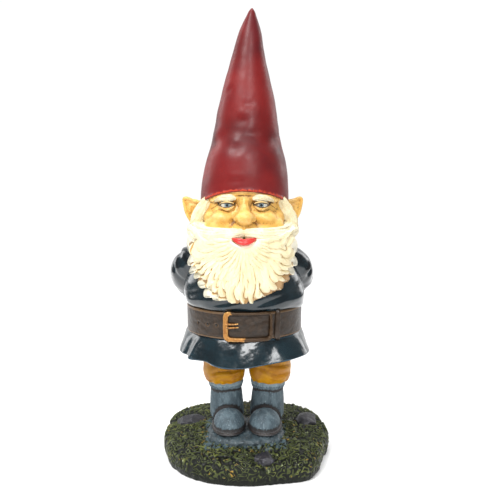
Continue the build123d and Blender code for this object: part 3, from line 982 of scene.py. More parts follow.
def make_blouse(cloth):
    (x, _, _), (wide, deep, _) = extent("tunic_body")
    around = 400
    angle = circle(around)
    profile = [
        (0.0, 0.86), (1.6, 0.93), (3.6, 0.968), (7.0, 0.99), (13.0, 0.99), (20.0, 0.955),
        (28.0, 0.88), (35.0, 0.78), (41.0, 0.66), (45.0, 0.54),
    ]
    foot = belt_place(angle, 19.2, 0)[:, 2] - 3.6 * bump(angle_gap(angle, 0), 0, 0.55)
    rises = np.concatenate([np.linspace(0, 4, 18), np.linspace(4.3, 44, 96)])
    rings = []
    for rise in rises:
        size = smooth_curve(profile, np.array([rise]))[0]
        level = foot + (167 - foot) * rise / 45
        rings.append(xyz(x + wide * size * cos(angle), 0.3 + deep * size * sin(angle), level))
    clay = Clay()
    add_skin(clay, np.array(rings))
    core = [
        xyz(x + wide * 0.82 * cos(angle), deep * 0.82 * sin(angle), z)
        for z in np.linspace(waist - 1.5, 126, 20)
    ]
    add_skin(clay, np.array(core))
    blouse = clay.make("tunic_blouse")
    folds = [
        (-2.55, 130, 0.22, 3.5, 0.9), (-2.25, 146, 0.30, 3.0, 1.2), (-0.85, 146, 0.30, 3.0, 1.0),
        (-0.45, 132, 0.25, 3.5, 1.2), (-1.9, 128.5, 0.35, 2.0, 0.5), (-1.1, 129.0, 0.4, 2.2, 0.5),
        (0.5, 133, 0.4, 3.0, 1.4), (1.2, 128, 0.4, 2.4, 1.2), (1.9, 137, 0.4, 3.0, 1.2),
        (2.6, 131, 0.35, 3.0, 1.3),
        (1.57, 150, 0.5, 3.5, 1.2),
    ]

    def folded(points, normals):
        turn = np.arctan2(points[:, 1], points[:, 0] - x)
        roll = bump(points[:, 2], 128, 3.4)
        amount = 0.28 * roll * sin(9 * turn + 2.2 * sin(2 * turn))
        amount += 0.6 * noise(points, (18, 18, 14), 91) + 0.05 * layered(points, 4.0, 2, 92)
        for at, height, spread, rise, depth in folds:
            slope = height + 9.0 * angle_gap(turn, at)
            crest = bump(angle_gap(turn, at), 0, spread)
            level = points[:, 2]
            amount += depth * crest * (bump(level, slope, rise)
                                       - 0.8 * bump(level, slope + 1.8 * rise, rise))
        return amount * step(121, 126, points[:, 2])

    push(blouse, folded)
    return finish_piece(blouse, cloth, "tunic_cloth", "tunic_body", reach=12, depth=0.4)


def make_sleeves(cloth):
    for name, side in SIDES.items():
        low, high = box(f"sleeve_{name}")
        outer = abs((high[0] - 4.0 if side > 0 else low[0]) - face_x)
        stations = [
            (outer - 33, 1, 155, 8.5), (outer - 21, 2.5, 155, 11.6), (outer - 14.0, 8, 149, 12.9),
            (outer - 12.6, 16, 139.5, 12.9), (outer - 18, 28, 130, 11.8), (outer - 30, 38, 123, 9.8),
            (outer - 45, 43, 119, 7.2),
        ]
        curve = smooth_path(stations, 110)
        path = curve[:, :3] * (side, 1, 1) + (face_x, 0, 0)
        tangent = unit(np.gradient(path, axis=0))
        across = unit(np.cross(tangent, UP))
        up = np.cross(across, tangent)
        angle = circle(120)
        t = np.linspace(0, 1, 110)
        draws = np.random.default_rng(97 + side)
        radius = np.repeat(curve[:, 3][:, None], 120, 1)
        for _ in range(20):
            at, turn = draws.uniform(0.22, 0.97), draws.uniform(0, TURN)
            slant, spread = draws.uniform(-0.08, 0.08), draws.uniform(0.5, 1.2)
            width = draws.uniform(0.012, 0.022)
            where = t[:, None] - at - slant * sin(angle - turn)[None]
            crest = bump(angle_gap(angle, turn), 0, spread)[None]
            radius += crest * (0.7 * bump(where, 0, width) - 1.3 * bump(where, 1.9 * width, width))
        radius *= 1 - 0.5 * step(0.97, 1.0, t)[:, None]
        ring = cos(angle)[None, :, None] * across[:, None] + sin(angle)[None, :, None] * up[:, None]
        sleeve = skinned(f"tunic_sleeve_{name}", path[:, None] + radius[:, :, None] * ring)
        roughen(sleeve, (0.35, 9, 1, 95), (0.06, 4, 2, 96))
        finish_piece(sleeve, cloth, "tunic_cloth", f"sleeve_{name}", reach=12, depth=0.4)


# ---------------------------------------------------------------- hands
def make_hands(skin):
    """A closed right hand held by the left one behind the back."""
    for name, side in SIDES.items():
        low, high = box(f"hand_{name}")
        x, y, z = (low + high) / 2
        clay = Clay()
        add_blob(clay, (x + side * 1.5, y - 0.4, z), (6.6, 3.4, 5.8))
        for i in range(4):
            height = high[2] - 3.0 - i * 2.75
            knuckles = [
                (x + side * 4.0, y + 1.6, height), (x - side * 0.5, y + 2.5, height + 0.3),
                (x - side * 5.0, y + 2.2, height), (x - side * 6.6, y + 0.2, height - 0.2),
            ]
            add_tube(clay, smooth_path(knuckles, 18), np.linspace(1.75, 1.35, 18), -FRONT, 12)
        thumb = [(x + side * 3.0, y - 0.5, high[2] - 3.0), (x - side * 1.0, y + 1.4, high[2] - 1.6),
                 (x - side * 4.0, y + 1.8, high[2] - 1.9)]
        add_tube(clay, smooth_path(thumb, 16), np.linspace(2.0, 1.5, 16), -FRONT, 12)
        hand = clay.make(f"folded_hand_{name}")
        fuse(hand, 0.3, relax=2)
        finish_piece(hand, skin, "skin", f"hand_{name}", reach=8, depth=0.3)


# ---------------------------------------------------------------- belt
belt_turn = math.radians(3)
belt_depth = 39.0 / 43.5


def belt_place(angle, height, out):
    """A point of the belt: its angle round the waist, its height in the band, and how far it stands out."""
    (x, _, _), (rx, _, _) = extent("belt")
    ry = rx * belt_depth
    y = (ry + out) * sin(angle)
    base = waist - 0.5 - y * math.tan(belt_turn)
    return xyz(x + (rx + out) * cos(angle), y, base + height)


def make_belt(leather):
    around = 520
    angle = circle(around)
    height = 20.2
    shape = [(0.6, -3.2), (0.0, -2.4), (0.0, -0.7), (0.25, -0.25), (0.7, 0.0), (1.3, 0.05), (1.7, -0.12),
             (2.1, 0.0)]
    face = [(h, 0.0) for h in np.linspace(2.6, height - 2.6, 30)]
    half = shape + face + [(height - h, o) for h, o in shape[::-1]]
    clay = Clay()
    add_hoop(clay, np.stack([belt_place(angle, h, o) for h, o in half]))
    belt = clay.make("belt_leather_strap")
    holes = [-2.46, -2.24, -2.06]
    mid = height / 2

    def worn(points, normals):
        turn = np.arctan2(points[:, 1] / belt_depth, points[:, 0] - middle("belt")[0])
        level = points[:, 2] - (waist - 0.5 - points[:, 1] * math.tan(belt_turn))
        amount = 0.16 * noise(points, (9, 9, 5), 101) + 0.10 * layered(points, 2.2, 3, 102)
        for at in holes:
            gap = np.hypot(angle_gap(turn, at) * 42, level - mid)
            amount -= 1.1 * (1 - step(0.5, 1.15, gap))
        return amount

    push(belt, worn)
    return finish_piece(belt, leather, "belt_leather", "belt", reach=8, depth=0.2)


def rounded_frame(width, height, corner, count=12):
    """Places (x, z) round a rectangle with rounded corners."""
    places = []
    for i, (sx, sz) in enumerate([(1, 1), (-1, 1), (-1, -1), (1, -1)]):
        turn = np.linspace(i * math.pi / 2, (i + 1) * math.pi / 2, count)
        places.append(
            np.stack([sx * (width / 2 - corner) + corner * cos(turn), sz * (height / 2 - corner)
                      + corner * sin(turn)], 1)
        )
    places = np.concatenate(places)
    closed = np.concatenate([places, places[:1]])
    length = np.concatenate([[0], np.cumsum(np.linalg.norm(np.diff(closed, axis=0), axis=1))])
    t = np.linspace(0, length[-1], 180, endpoint=False)
    return np.stack([np.interp(t, length, closed[:, k]) for k in range(2)], 1)


def rounded(wave, power):
    """A sine or cosine bent so that the circle it draws turns squarer, or flatter."""
    return np.sign(wave) * np.abs(wave) ** power


def front_place(x, z, out):
    """A point in front of the belt at (x, z), standing out from it."""
    (centre, _, _), (rx, _, _) = extent("belt")
    ry = rx * belt_depth
    share = np.clip((x - centre) / (rx + out), -1, 1)
    return xyz(x, -(ry + out) * np.sqrt(1 - share**2), z)


def add_loop(clay, places, outs, half_width, half_height):
    """A closed rod of rounded section that follows places (x, z) in front of the belt."""
    path = front_place(places[:, 0], places[:, 1], np.asarray(outs))
    tangent = unit(np.roll(path, -1, 0) - np.roll(path, 1, 0))
    outward = unit(xyz(path[:, 0] - middle("belt")[0], path[:, 1] * 1.2, 0 * path[:, 0]))
    across = unit(np.cross(tangent, outward))
    angle = circle(14)
    ring = half_width[:, None, None] * rounded(cos(angle), 0.6)[:, None] * across[:, None]
    ring = ring + half_height * rounded(sin(angle), 0.6)[:, None] * outward[:, None]
    add_hoop(clay, path[:, None] + ring)


def make_buckle(brass, leather):
    low, high = box("belt_buckle")
    x, _, z = middle("belt_buckle")
    width, height = high[0] - low[0], high[2] - low[2] + 1.4
    clay = Clay()
    places = rounded_frame(width - 3.0, height - 2.6, 3.2) + (x, z)
    left = 1 - step(low[0] + 2, low[0] + 6, places[:, 0])
    lower = 1 - step(z - 5, z, places[:, 1])
    thick = 1.0 + 0.85 * left + 0.45 * lower * (1 - left)
    add_loop(clay, places, np.full(180, 1.1), thick, 1.25)
    buckle = clay.make("buckle_frame")
    fuse(buckle, 0.28, relax=2)
    roughen(buckle, (0.16, 4.0, 3, 111))
    points = points_of(buckle)
    # Painted highlight: the bar on the gnome's right and the lower bar beside it are marked to keep the
    # gold, and dark brown paint covers the rest.
    left = 1 - step(low[0] + 4.5, low[0] + 7, points[:, 0])
    lower = (1 - step(z - 7, z - 4, points[:, 2])) * (1 - step(low[0] + 12, low[0] + 19, points[:, 0]))
    mark(buckle, "painted_highlight", np.maximum(left, lower))
    finish_piece(buckle, brass, "buckle_brass", "belt_buckle", reach=8, depth=0.25)

    low, high = box("buckle_prong")
    z = middle("buckle_prong")[2]
    clay = Clay()
    for rise in (1.5, -1.1):
        reach = np.linspace(low[0] - 3.6, high[0] - 1.0, 20)
        outs = 1.5 + 0.5 * sin(np.linspace(0, math.pi, 20)) - np.linspace(0, 1.2, 20)
        path = front_place(reach, np.full(20, z + rise) + 0.4 * np.linspace(0, 1, 20), outs)
        add_tube(clay, path, np.linspace(0.95, 0.45, 20), FRONT, 12)
    prong = clay.make("buckle_prongs")
    fuse(prong, 0.2, relax=1)
    # The prongs are marked as mostly painted highlight, so most of their gold shows.
    mark(prong, "painted_highlight", np.full(len(prong.data.vertices), 0.8))
    finish_piece(prong, brass, "buckle_brass", "buckle_prong", reach=6, depth=0.2)

    (x, _, z), (_, _, half) = extent("belt_keeper")
    clay = Clay()
    rise = np.linspace(-1, 1, 40)
    half += 0.6
    outs = 1.0 - 1.4 * np.abs(rise) ** 8
    path = front_place(np.full(40, x) + 0.3 * sin(rise * 3), z + rise * half, outs)
    add_tube(clay, path, np.full(40, 2.15), FRONT, 18, flat=0.42)
    keeper = clay.make("belt_keeper_loop")
    fuse(keeper, 0.28, relax=1)
    roughen(keeper, (0.12, 2.5, 2, 113))
    finish_piece(keeper, leather, "belt_leather", "belt_keeper", reach=6, depth=0.2)


# ---------------------------------------------------------------- legs
def make_breeches(mustard):
    for name, side in SIDES.items():
        (x, y, _), (half, _, _) = extent(f"breeches_{name}")
        around = 220
        angle = circle(around)
        profile = [
            (59.5, 0.66), (61.0, 0.84), (63.5, 0.95), (67.0, 1.0), (73.0, 1.0), (80.0, 0.97), (90.0, 0.92)
        ]
        levels = np.linspace(59.5, 90.0, 84)
        size = smooth_curve(profile, levels) * half
        rings = np.stack(
            [
                oval(x, y, r, r, z, angle)
                for z, r in zip(levels, size)
            ]
        )
        leg = skinned(f"breeches_leg_{name}", rings)

        def baggy(points, normals):
            turn = np.arctan2(points[:, 1] - y, points[:, 0] - x)
            tuck = bump(points[:, 2], 61.5, 2.8)
            amount = 0.3 * tuck * sin(11 * turn + 1.7 * sin(3 * turn + side))
            wave = points[:, 2] + 3.0 * sin(turn * 1.0 + side) + 2.4 * noise(points, 14, 122)
            for height, depth in ((67.0, 0.65), (73.0, 0.6), (80.0, 0.4)):
                strength = 0.5 + 0.5 * sin(turn * 2 + height)
                amount += depth * strength * (bump(wave, height, 1.7) - 0.8 * bump(wave, height + 3.0, 1.4))
            return amount + 0.35 * noise(points, 9, 121) + 0.05 * layered(points, 3.0, 2, 123)

        push(leg, baggy)
        finish_piece(leg, mustard, "breeches_cloth", f"breeches_{name}", reach=10, depth=0.35)


def felt_fibres(points, seed):
    """Short hairs that lie down the boot."""
    warped = points + 0.8 * noise(points, 4, seed)[:, None]
    hairs = noise(warped, (0.75, 0.75, 3.2), seed + 1)
    return 0.17 * hairs + 0.10 * noise(points, 1.1, seed + 2)


def make_boots(felt, cuff_felt):
    for name, side in SIDES.items():
        low, high = box(f"boot_{name}")
        leg_x, leg_y = middle(f"boot_cuff_{name}")[:2]
        toe_x = middle(f"sole_{name}")[0] - side * 0.2
        bottom = low[2]
        clay = Clay()
        around = 120
        angle = circle(around)
        profile = [(-0.6, 12.2), (3, 12.9), (8, 13.1), (15, 12.7), (21, 12.3), (25.0, 12.2), (26.5, 12.9),
                   (29.5, 13.2)]
        rings = []
        for rise in np.linspace(-0.6, 29.5, 70):
            radius = smooth_curve(profile, np.array([rise]))[0]
            x = leg_x - side * 1.2 * (1 - rise / 29) + radius * cos(angle)
            y = leg_y - 0.8 * step(0, 14, 14 - rise) + radius * sin(angle)
            rings.append(xyz(x, y, bottom + rise))
        add_skin(clay, np.array(rings))
        toe_centre = np.array([toe_x, low[1] + 16.4, bottom + 0.8])
        toe_radii = np.array([12.0, 16.0, 12.8])
        add_blob(clay, toe_centre, toe_radii, rows=40, around=60)
        boot = clay.make(f"felt_boot_{name}")
        fuse(boot, 0.42, relax=3)

        def seam_of(points):
            """1 where the toe cap meets the shaft, falling to 0 beside the seam."""
            toe = (np.linalg.norm((points - toe_centre) / toe_radii, axis=1) - 1) * 12.6
            shaft_x = leg_x - side * 1.2 * (1 - (points[:, 2] - bottom) / 29)
            shaft = np.hypot(points[:, 0] - shaft_x, points[:, 1] - leg_y + 0.8) - 12.9
            ragged = 0.7 * noise(points, 3.0, 137)
            return bump(toe - shaft + ragged, 0.9, 2.3) * (points[:, 1] < leg_y) * (toe < 5)

        def shaped(points, normals):
            hem = bump(points[:, 2], bottom + 1.6, 0.9)
            tie = bump(points[:, 2], bottom + 25.3, 0.8)
            shape = 0.25 * noise(points, 7, 131) + felt_fibres(points, 132)
            return shape - 0.8 * seam_of(points) - 0.3 * hem - 0.5 * tie

        seam = seam_of(points_of(boot))
        push(boot, shaped)
        points = points_of(boot)
        points[:, 2] = np.maximum(points[:, 2], bottom - 0.6)
        set_points(boot, points)
        line = bottom + 25.3 + 0.6 * sin(3 * np.arctan2(points[:, 1] - leg_y, points[:, 0] - leg_x) + side)
        dark = np.max([1.2 * seam, bump(points[:, 2], bottom, 3.0), bump(points[:, 2], line, 1.5)], axis=0)
        mark(boot, "seam", dark)
        finish_piece(boot, felt, "boot_felt", f"boot_{name}", reach=4, depth=0.22)

        low, high = box(f"boot_cuff_{name}")
        clay = Clay()
        turns = np.linspace(0, TURN, 200, endpoint=False)
        wave = 0.35 * sin(3 * turns + side) + 0.2 * sin(7 * turns)
        height, radius = (low[2] + high[2]) / 2 - 0.4, (high[0] - low[0]) / 2 - 1.6
        path = xyz(leg_x + radius * cos(turns), leg_y + radius * sin(turns), height + wave)
        outward = xyz(cos(turns), sin(turns), 0)
        section = circle(24)[:, None]
        add_hoop(clay, path[:, None] + 1.6 * cos(section) * outward[:, None] + 2.5 * sin(section) * UP)
        cuff = clay.make(f"rolled_cuff_{name}")
        fuse(cuff, 0.35, relax=1)
        push(cuff, lambda points, normals: felt_fibres(points, 141) + 0.2 * noise(points, 4, 142))
        finish_piece(cuff, cuff_felt, "cuff_felt", f"boot_cuff_{name}", reach=4, depth=0.22)


def make_soles(sole_paint):
    for name in SIDES:
        bottom = box(f"sole_{name}")[0][2]
        (x, y, _), (half_x, half_y, _) = extent(f"sole_{name}")
        around = 200
        angle = circle(around)
        ring_x, ring_y = half_x * rounded(cos(angle), 0.9), half_y * rounded(sin(angle), 0.85)
        narrow = 1 - 0.10 * step(0, half_y, ring_y)
        rows = [(0.0, 0.93), (0.25, 0.975), (0.9, 1.0), (1.6, 0.985), (2.2, 0.955), (2.7, 0.98),
                (3.1, 0.96), (3.4, 0.9)]
        rings = [xyz(x + ring_x * narrow * s, y + ring_y * s, bottom + z) for z, s in rows]
        sole = skinned(f"boot_sole_{name}", rings)
        fuse(sole, 0.4, relax=1)
        roughen(sole, (0.10, 2.5, 3, 151))
        finish_piece(sole, sole_paint, "sole_leather", f"sole_{name}", reach=6, depth=0.2)


# ---------------------------------------------------------------- plinth
plinth_outline = [
    (2, -61), (24, -57.5), (47, -49.5), (54, -37), (57.5, -22), (60.5, -8), (64, 1), (63, 19), (55, 38),
    (40, 53), (12, 58.5), (-14, 58), (-35, 54.5), (-58, 38), (-63.5, 19), (-65, 1), (-63, -8), (-60, -22),
    (-53, -36), (-41, -49), (-16, -59.5),
]


def ground_edge(angle):
    """The plinth's outline: its reach from the middle in each direction, in millimetres."""
    corners = np.array(plinth_outline)
    turns = np.arctan2(corners[:, 1], corners[:, 0])
    order = np.argsort(turns)
    turns, reach = turns[order], np.linalg.norm(corners[order], axis=1)
    turns = np.concatenate([turns - TURN, turns, turns + TURN])
    reach = np.tile(reach, 3)
    flat = xyz(cos(angle), sin(angle), 0)
    ragged = 0.8 * noise(flat * 8, 1.0, 167) + 0.5 * noise(flat * 22, 1.0, 168)
    return smooth_curve(list(zip(turns, reach)), angle_gap(angle, 0)) + ragged


def moss_ridges(points):
    """Worm-like curls of moss: where a warped noise field crosses one of several levels."""
    warp = np.stack([noise(points, 5.0, 161 + i) for i in range(3)], 1)
    field = noise(points + 2.4 * warp, 5.6, 165) * 2.2 + 0.5 * noise(points + warp, 3.0, 166)
    return np.abs((field % 1.0) * 2 - 1)


def make_ground():
    low, high = box("base_ground")
    top = high[2] - 0.4
    around = 760
    angle = circle(around)
    reach = ground_edge(angle)
    level = 17.6 + 4.6 * step(-0.4, 0.8, sin(angle))
    side = [(0.0, 0.975), (0.05, 0.982), (0.12, 0.988), (0.25, 0.995), (0.4, 1.0), (0.55, 1.0),
            (0.7, 0.995),
            (0.82, 0.98), (0.92, 0.955), (1.0, 0.92)]
    rings = []
    for share in (0.35, 0.7):
        rings.append(xyz(reach * 0.97 * share * cos(angle), reach * 0.97 * share * sin(angle), 0))
    for t in np.linspace(0, 1, 40):
        out = reach * smooth_curve(side, np.array([t]))[0]
        rings.append(xyz(out * cos(angle), out * sin(angle), level * t))
    for share in np.linspace(0.99, 0.02, 100):
        z = level + (top - level) * (1 - share**2.4)
        out = reach * 0.92 * share
        rings.append(xyz(out * cos(angle), out * sin(angle), z))
    ground = skinned("mossy_ground", rings)
    fuse(ground, 0.60, relax=1)
    stones = [extent(name) for name in STONES]

    def grown(points, normals):
        above = step(1.5, 6.0, points[:, 2])
        curls = 1 - step(0.0, 0.8, moss_ridges(points))
        lumps = 0.9 * noise(points, 13, 171) + 0.6 * noise(points, 6, 172)
        side_grain = 0.3 * noise(points, 5, 173)
        calm = 0.45 + 0.55 * step(0.3, 0.8, normals[:, 2])
        flat = step(0.3, 2.0, points[:, 2])
        dip = np.zeros(len(points))
        for centre, half in stones:
            away = np.hypot((points[:, 0] - centre[0]) / half[0], (points[:, 1] - centre[1]) / half[1])
            dip += 2.6 * (1 - step(0.9, 1.6, away)) * (normals[:, 2] > 0.2)
        return flat * (above * calm * (1.45 * curls + 0.8 * lumps - 0.75) + (1 - above) * side_grain) - dip

    curl = 1 - step(0.0, 0.75, moss_ridges(points_of(ground)))
    push(ground, grown)
    points = points_of(ground)
    points[:, 0] = np.clip(points[:, 0], low[0], high[0])
    points[:, 1] = np.clip(points[:, 1], low[1], high[1])
    points[:, 2] = np.maximum(points[:, 2], low[2])
    set_points(ground, points)
    mark(ground, "curl", curl)
    mark(ground, "above", step(1.5, 7.0, points[:, 2]))
    slab_low, slab_high = box("foot_slab")
    away = np.maximum(np.maximum(slab_low + 2 - points, points - slab_high + 2), 0)[:, :2]
    mark(ground, "splash", 1 - step(0.0, 6.5, np.linalg.norm(away, axis=1)))

    def mossy(paint, colour):
        """Olive, yellow-green and ochre dry brush on the curls, and blue-grey run off the slab."""
        curl = paint.math("MULTIPLY", paint.attribute("curl"), paint.attribute("above"))
        olive = paint.ramp(curl, 0.25, 0.95, 0.0, 0.75)
        colour = paint.mix(olive, colour, linear((76, 84, 42)))
        drift = paint.ramp(paint.noise(8, 4), 0.46, 0.64)
        share = paint.math("MULTIPLY", curl, drift)
        colour = paint.mix(paint.ramp(share, 0.35, 0.95, 0.0, 0.9), colour, linear((98, 103, 48)))
        rust = paint.math("MULTIPLY", curl, paint.ramp(paint.noise(7, 3, warp=1.0), 0.60, 0.68))
        colour = paint.mix(paint.ramp(rust, 0.3, 0.9, 0.0, 0.75), colour, linear((160, 122, 42)))
        pale = paint.math("MULTIPLY", curl, paint.ramp(paint.noise(3.2, 3, warp=0.5), 0.64, 0.72))
        colour = paint.mix(paint.ramp(pale, 0.3, 0.9, 0.0, 0.7), colour, linear((184, 192, 150)))
        splash = paint.math("MULTIPLY", paint.attribute("splash"),
                            paint.ramp(paint.noise(3.0, 4), 0.38, 0.62))
        return paint.mix(paint.ramp(splash, 0.15, 0.8, 0.0, 0.8), colour, linear((78, 96, 104)))

    moss = resin(
        "moss_paint", (17, 22, 10), (11, 15, 8), (5, 7, 5), (46, 54, 27), patch=9,
        hollows=(-0.1, 0.6, 0.95), ridges=(0.35, 1.3, 0.5), gloss=(0.36, 0.56), grain=(0.5, 0.10),
        extra=mossy, Specular_IOR_Level=0.25,
    )
    return finish_piece(ground, moss, "moss", "base_ground", reach=5, depth=0.4)


def make_slab():
    low, high = box("foot_slab")
    (x, y, _), half = extent("foot_slab")
    around = 220
    angle = circle(around)
    flat = xyz(cos(angle), sin(angle), 0)
    ragged = 0.965 + 0.045 * noise(flat * 3, 1.0, 181) + 0.03 * noise(flat * 9, 1.0, 182)
    squareness = (np.abs(cos(angle)) ** 2.8 + np.abs(sin(angle)) ** 2.8) ** (-1 / 2.8)
    rx, ry = half[0] * squareness * ragged, half[1] * squareness * ragged
    rings = []
    for z, share in [(low[2], 1.02), (low[2] + 3, 1.02), (high[2] - 3.2, 1.01), (high[2] - 2.2, 0.99),
                     (high[2] - 1.3, 0.95), (high[2] - 0.6, 0.88), (high[2] - 0.1, 0.78), (high[2], 0.5),
                     (high[2], 0.1)]:
        rings.append(oval(x, y, rx * share, ry * share, z, angle))
    slab = skinned("foot_slab_stone", rings)
    fuse(slab, 0.45, relax=1)
    push(slab, lambda points, normals: 0.7 * noise(points, 6, 183) + 0.38 * layered(points, 2.4, 3, 184)
         - 0.3)
    blue = resin(
        "slab_paint", (62, 76, 82), (44, 55, 60), (28, 34, 34), (150, 168, 178), patch=6,
        hollows=(0.05, 1.0, 0.85), ridges=(0.25, 1.3, 0.7), gloss=(0.45, 0.6), grain=(0.6, 0.08),
    )
    return finish_piece(slab, blue, "slab_stone", "foot_slab", reach=6, depth=0.35)


def make_stones():
    for index, name in enumerate(STONES):
        draws = np.random.default_rng(191 + index)
        centre, half = extent(name)
        v, u = np.meshgrid(np.linspace(0.02, 0.98, 70) * math.pi, circle(110), indexing="ij")
        ray = xyz(sin(v) * cos(u), sin(v) * sin(u), -cos(v))
        reach = np.full(ray.shape[:2], 1.12)
        for _ in range(16):
            normal = unit(draws.normal(size=3) * (1, 1, 0.8))
            cut = draws.uniform(0.80, 1.0)
            facing = np.maximum(ray @ normal, 1e-3)
            reach = np.minimum(reach, cut / facing)
        stone = skinned(f"field_{name}", centre + ray * reach[..., None] * half * (1.04, 1.04, 1.0))
        fuse(stone, 0.36, relax=2)
        push(stone, lambda points, normals: 0.35 * layered(points, 4.0, 4, 195 + index) - 0.1)
        slate = resin(
            f"{name}_paint", (34, 33, 39), (26, 26, 31), (11, 11, 14), (86, 86, 100), patch=5,
            hollows=(0.1, 1.0, 0.85), ridges=(0.25, 1.0, 0.75), gloss=(0.38, 0.55), grain=(0.6, 0.08),
        )
        finish_piece(stone, slate, "field_stone", name, reach=8, depth=0.3)


# ---------------------------------------------------------------- shared paints
def skin_paint():
    def flushed(paint, colour):
        """Pale patches rubbed over the ochre, and a dark line along the lashes."""
        pale = paint.ramp(paint.noise(9, 2), 0.5, 0.68, 0.0, 0.35)
        colour = paint.mix(pale, colour, linear((246, 216, 152)))
        lash = paint.ramp(paint.attribute("lash"), 0.3, 0.7, 0.0, 0.92)
        return paint.mix(lash, colour, linear((44, 28, 18)))

    return resin(
        "skin_paint", (234, 191, 106), (220, 168, 82), (112, 68, 24), (253, 232, 176), patch=5,
        hollows=(0.0, 0.75, 0.85), ridges=(0.25, 1.1, 0.6), gloss=(0.36, 0.5), grain=(0.5, 0.03),
        extra=flushed, Coat_Weight=0.08, Coat_Roughness=0.3,
    )


def white_hair_paint():
    return resin(
        "white_hair_paint", (236, 227, 194), (226, 213, 174), (150, 104, 52), (250, 245, 224), patch=6,
        hollows=(0.1, 1.1, 0.85), ridges=(0.1, 1.3, 0.8), gloss=(0.5, 0.65), grain=(0.6, 0.05),
    )


def tunic_paint():
    return resin(
        "tunic_paint", (13, 27, 33), (19, 37, 44), (7, 12, 16), (58, 84, 100), patch=14,
        hollows=(0.1, 1.0, 0.8), ridges=(0.45, 1.6, 0.4), gloss=(0.16, 0.26), grain=(1.2, 0.03),
        Coat_Weight=0.45, Coat_Roughness=0.12,
    )


def leather_paint():
    return resin(
        "belt_paint", (50, 36, 23), (37, 27, 18), (17, 13, 9), (122, 94, 64), patch=5,
        hollows=(0.05, 1.0, 0.85), ridges=(0.3, 1.2, 0.5), gloss=(0.32, 0.46), grain=(0.7, 0.05),
        Coat_Weight=0.15, Coat_Roughness=0.22, Specular_IOR_Level=0.35,
    )


def brass_paint():
    def painted_buckle_highlight(paint, colour):
        """Dark brown paint over the gold, with the gold left showing as a painted highlight on the gnome's
        right and below.
        """
        # Painted highlight share: where it is high the gold shows, and where it is low dark brown covers
        # it.
        painted_highlight = paint.math("ADD", paint.attribute("painted_highlight"),
                            paint.ramp(paint.noise(3, 3), 0.3, 0.7, -0.3, 0.3))
        return paint.mix(paint.ramp(painted_highlight, 0.35, 0.85, 0.93, 0.0), colour, linear((44, 32, 21)))

    return resin(
        "buckle_paint", (178, 124, 60), (150, 98, 44), (66, 40, 20), (232, 190, 118), patch=5,
        hollows=(0.15, 1.0, 0.8), ridges=(0.2, 0.9, 0.7), gloss=(0.28, 0.46), grain=(0.6, 0.08),
        extra=painted_buckle_highlight, Metallic=0.35,
    )


def breeches_paint():
    return resin(
        "breeches_paint", (186, 130, 4), (166, 108, 4), (92, 54, 8), (206, 158, 34), patch=9,
        hollows=(0.1, 1.0, 0.75), ridges=(0.3, 1.3, 0.5), gloss=(0.36, 0.5), grain=(0.8, 0.03),
        Coat_Weight=0.05, Coat_Roughness=0.3, Specular_IOR_Level=0.3,
    )


def felt_paint(name, seams):
    def inked(paint, colour):
        """Dark brown-black lines over the instep, along the sole and under the cuff."""
        ragged = paint.math("ADD", paint.attribute("seam"),
                            paint.ramp(paint.noise(1.5, 4), 0.3, 0.7, -0.2, 0.2))
        return paint.mix(paint.ramp(ragged, 0.35, 0.75, 0.0, 0.92), colour, linear((36, 30, 28)))

    base, second = ((86, 103, 111), (62, 77, 85)) if seams else ((122, 138, 145), (100, 116, 123))
    return resin(
        name, base, second, (30, 36, 40), (164, 184, 194), patch=5, hollows=(0.1, 1.0, 0.7),
        ridges=(0.2, 1.2, 0.7), gloss=(0.55, 0.75), grain=(0.5, 0.10), stretch=(1, 1, 2.5),
        extra=inked if seams else None,
    )


def sole_leather_paint():
    return resin(
        "sole_paint", (40, 34, 32), (52, 46, 44), (16, 14, 14), (92, 96, 100), patch=5,
        ridges=(0.2, 1.3, 0.6), gloss=(0.4, 0.6), grain=(0.6, 0.08),
    )


def steel_paint():
    paint = Paint("steel_rod_metal")
    drawn = paint.noise(0.4, 3, (1, 1, 40))
    colour = paint.mix(drawn, linear((128, 130, 134)), linear((168, 170, 172)))
    paint.bump(drawn, 0.02)
    return paint.done(colour, paint.ramp(drawn, 0.3, 0.7, 0.3, 0.5), Metallic=1.0)


# ---------------------------------------------------------------- stage
def add_floor():
    mesh = bpy.data.meshes.new("floor")
    around = 96
    reach = 0.55
    rim = [(reach * math.cos(a), reach * math.sin(a), 0.0)
           for a in np.linspace(0, TURN, around, endpoint=False)]
    mesh.from_pydata(rim, [], [tuple(range(around))])
    floor = bpy.data.objects.new("floor", mesh)
    link(floor)
    paint = Paint("floor_paper")
    colour = paint.mix(paint.noise(120, 2), linear((250, 250, 250)), linear((253, 253, 253)))
    floor.data.materials.append(paint.done(colour, paint.ramp(paint.noise(90, 2), 0.3, 0.7, 0.75, 0.9)))


def add_light(name, place, aim, size, power):
    data = bpy.data.lights.new(name, "AREA")
    data.shape, data.size, data.size_y = "RECTANGLE", size[0], size[1]
    data.energy = power
    lamp = bpy.data.objects.new(name, data)
    link(lamp)
    lamp.location = place
    lamp.rotation_euler = (Vector(aim) - Vector(place)).to_track_quat("-Z", "Y").to_euler()


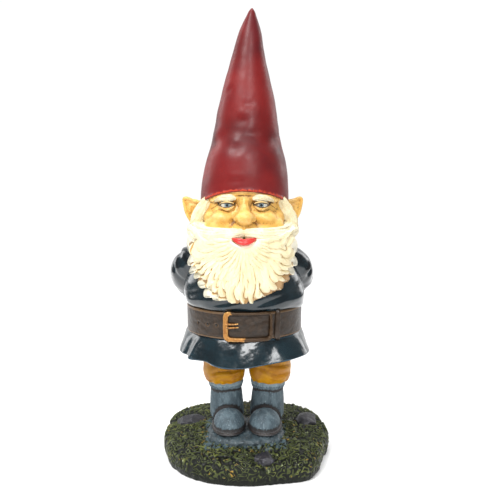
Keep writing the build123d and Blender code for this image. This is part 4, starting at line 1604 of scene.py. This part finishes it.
def add_lights():
    """A studio with a white wall behind the gnome and dim ones round it, and soft windows."""
    world = bpy.data.worlds.new("studio")
    world.use_nodes = True
    nodes, links = world.node_tree.nodes, world.node_tree.links
    direction = nodes.new("ShaderNodeTexCoord")
    split = nodes.new("ShaderNodeSeparateXYZ")
    wall = nodes.new("ShaderNodeMapRange")
    links.new(direction.outputs["Generated"], split.inputs[0])
    links.new(split.outputs["Y"], wall.inputs["Value"])
    for name, value in {"From Min": 0.6, "From Max": 0.78, "To Min": 0.22, "To Max": 1.03}.items():
        wall.inputs[name].default_value = value
    background = nodes["Background"]
    background.inputs["Color"].default_value = (1.0, 1.0, 1.0, 1.0)
    links.new(wall.outputs[0], background.inputs["Strength"])
    bpy.context.scene.world = world
    bpy.context.scene.view_settings.view_transform = "Standard"
    waist_point = (0, 0, 0.17)
    add_light("key_window", (-0.7, -0.9, 1.5), waist_point, (0.7, 0.7), 30)
    add_light("fill_window", (0.35, -1.5, 1.0), waist_point, (0.6, 0.6), 16)
    add_light("rim_left", (-0.9, 0.6, 0.6), waist_point, (0.4, 1.0), 4)
    add_light("rim_right", (0.9, 0.7, 0.6), waist_point, (0.4, 1.0), 4)
    add_light("top_window", (0.0, 0.3, 1.7), waist_point, (1.0, 1.0), 16)


def add_camera():
    """The camera that was fitted to the photo's outline, tilted down."""
    tilt = math.radians(11.8455)
    data = bpy.data.cameras.new("camera")
    data.sensor_width = 36.0
    data.lens = 68.446
    camera = bpy.data.objects.new("camera", data)
    link(camera)
    camera.location = (0.0, -0.700, 0.310)
    camera.rotation_euler = (math.pi / 2 - tilt, 0, 0)
    bpy.context.scene.camera = camera


# ---------------------------------------------------------------- build
skin, white_hair, cloth, leather = skin_paint(), white_hair_paint(), tunic_paint(), leather_paint()
make_ground()
make_slab()
make_stones()
make_soles(sole_leather_paint())
make_boots(felt_paint("boot_paint", True), felt_paint("cuff_paint", False))
make_breeches(breeches_paint())
make_skirt(cloth)
make_blouse(cloth)
make_sleeves(cloth)
make_hands(skin)
make_belt(leather)
make_buckle(brass_paint(), leather)
make_head(skin)
make_eyes()
make_ears(skin)
make_brows(white_hair)
make_sideburns(white_hair)
make_back_hair(white_hair)
make_beard()
make_moustache(white_hair)
make_lips()
make_hat()

steel = steel_paint()
for rod in ("leg_rod_left", "leg_rod_right"):
    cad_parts[rod].data.materials.clear()
    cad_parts[rod].data.materials.append(steel)

add_floor()
add_lights()
add_camera()
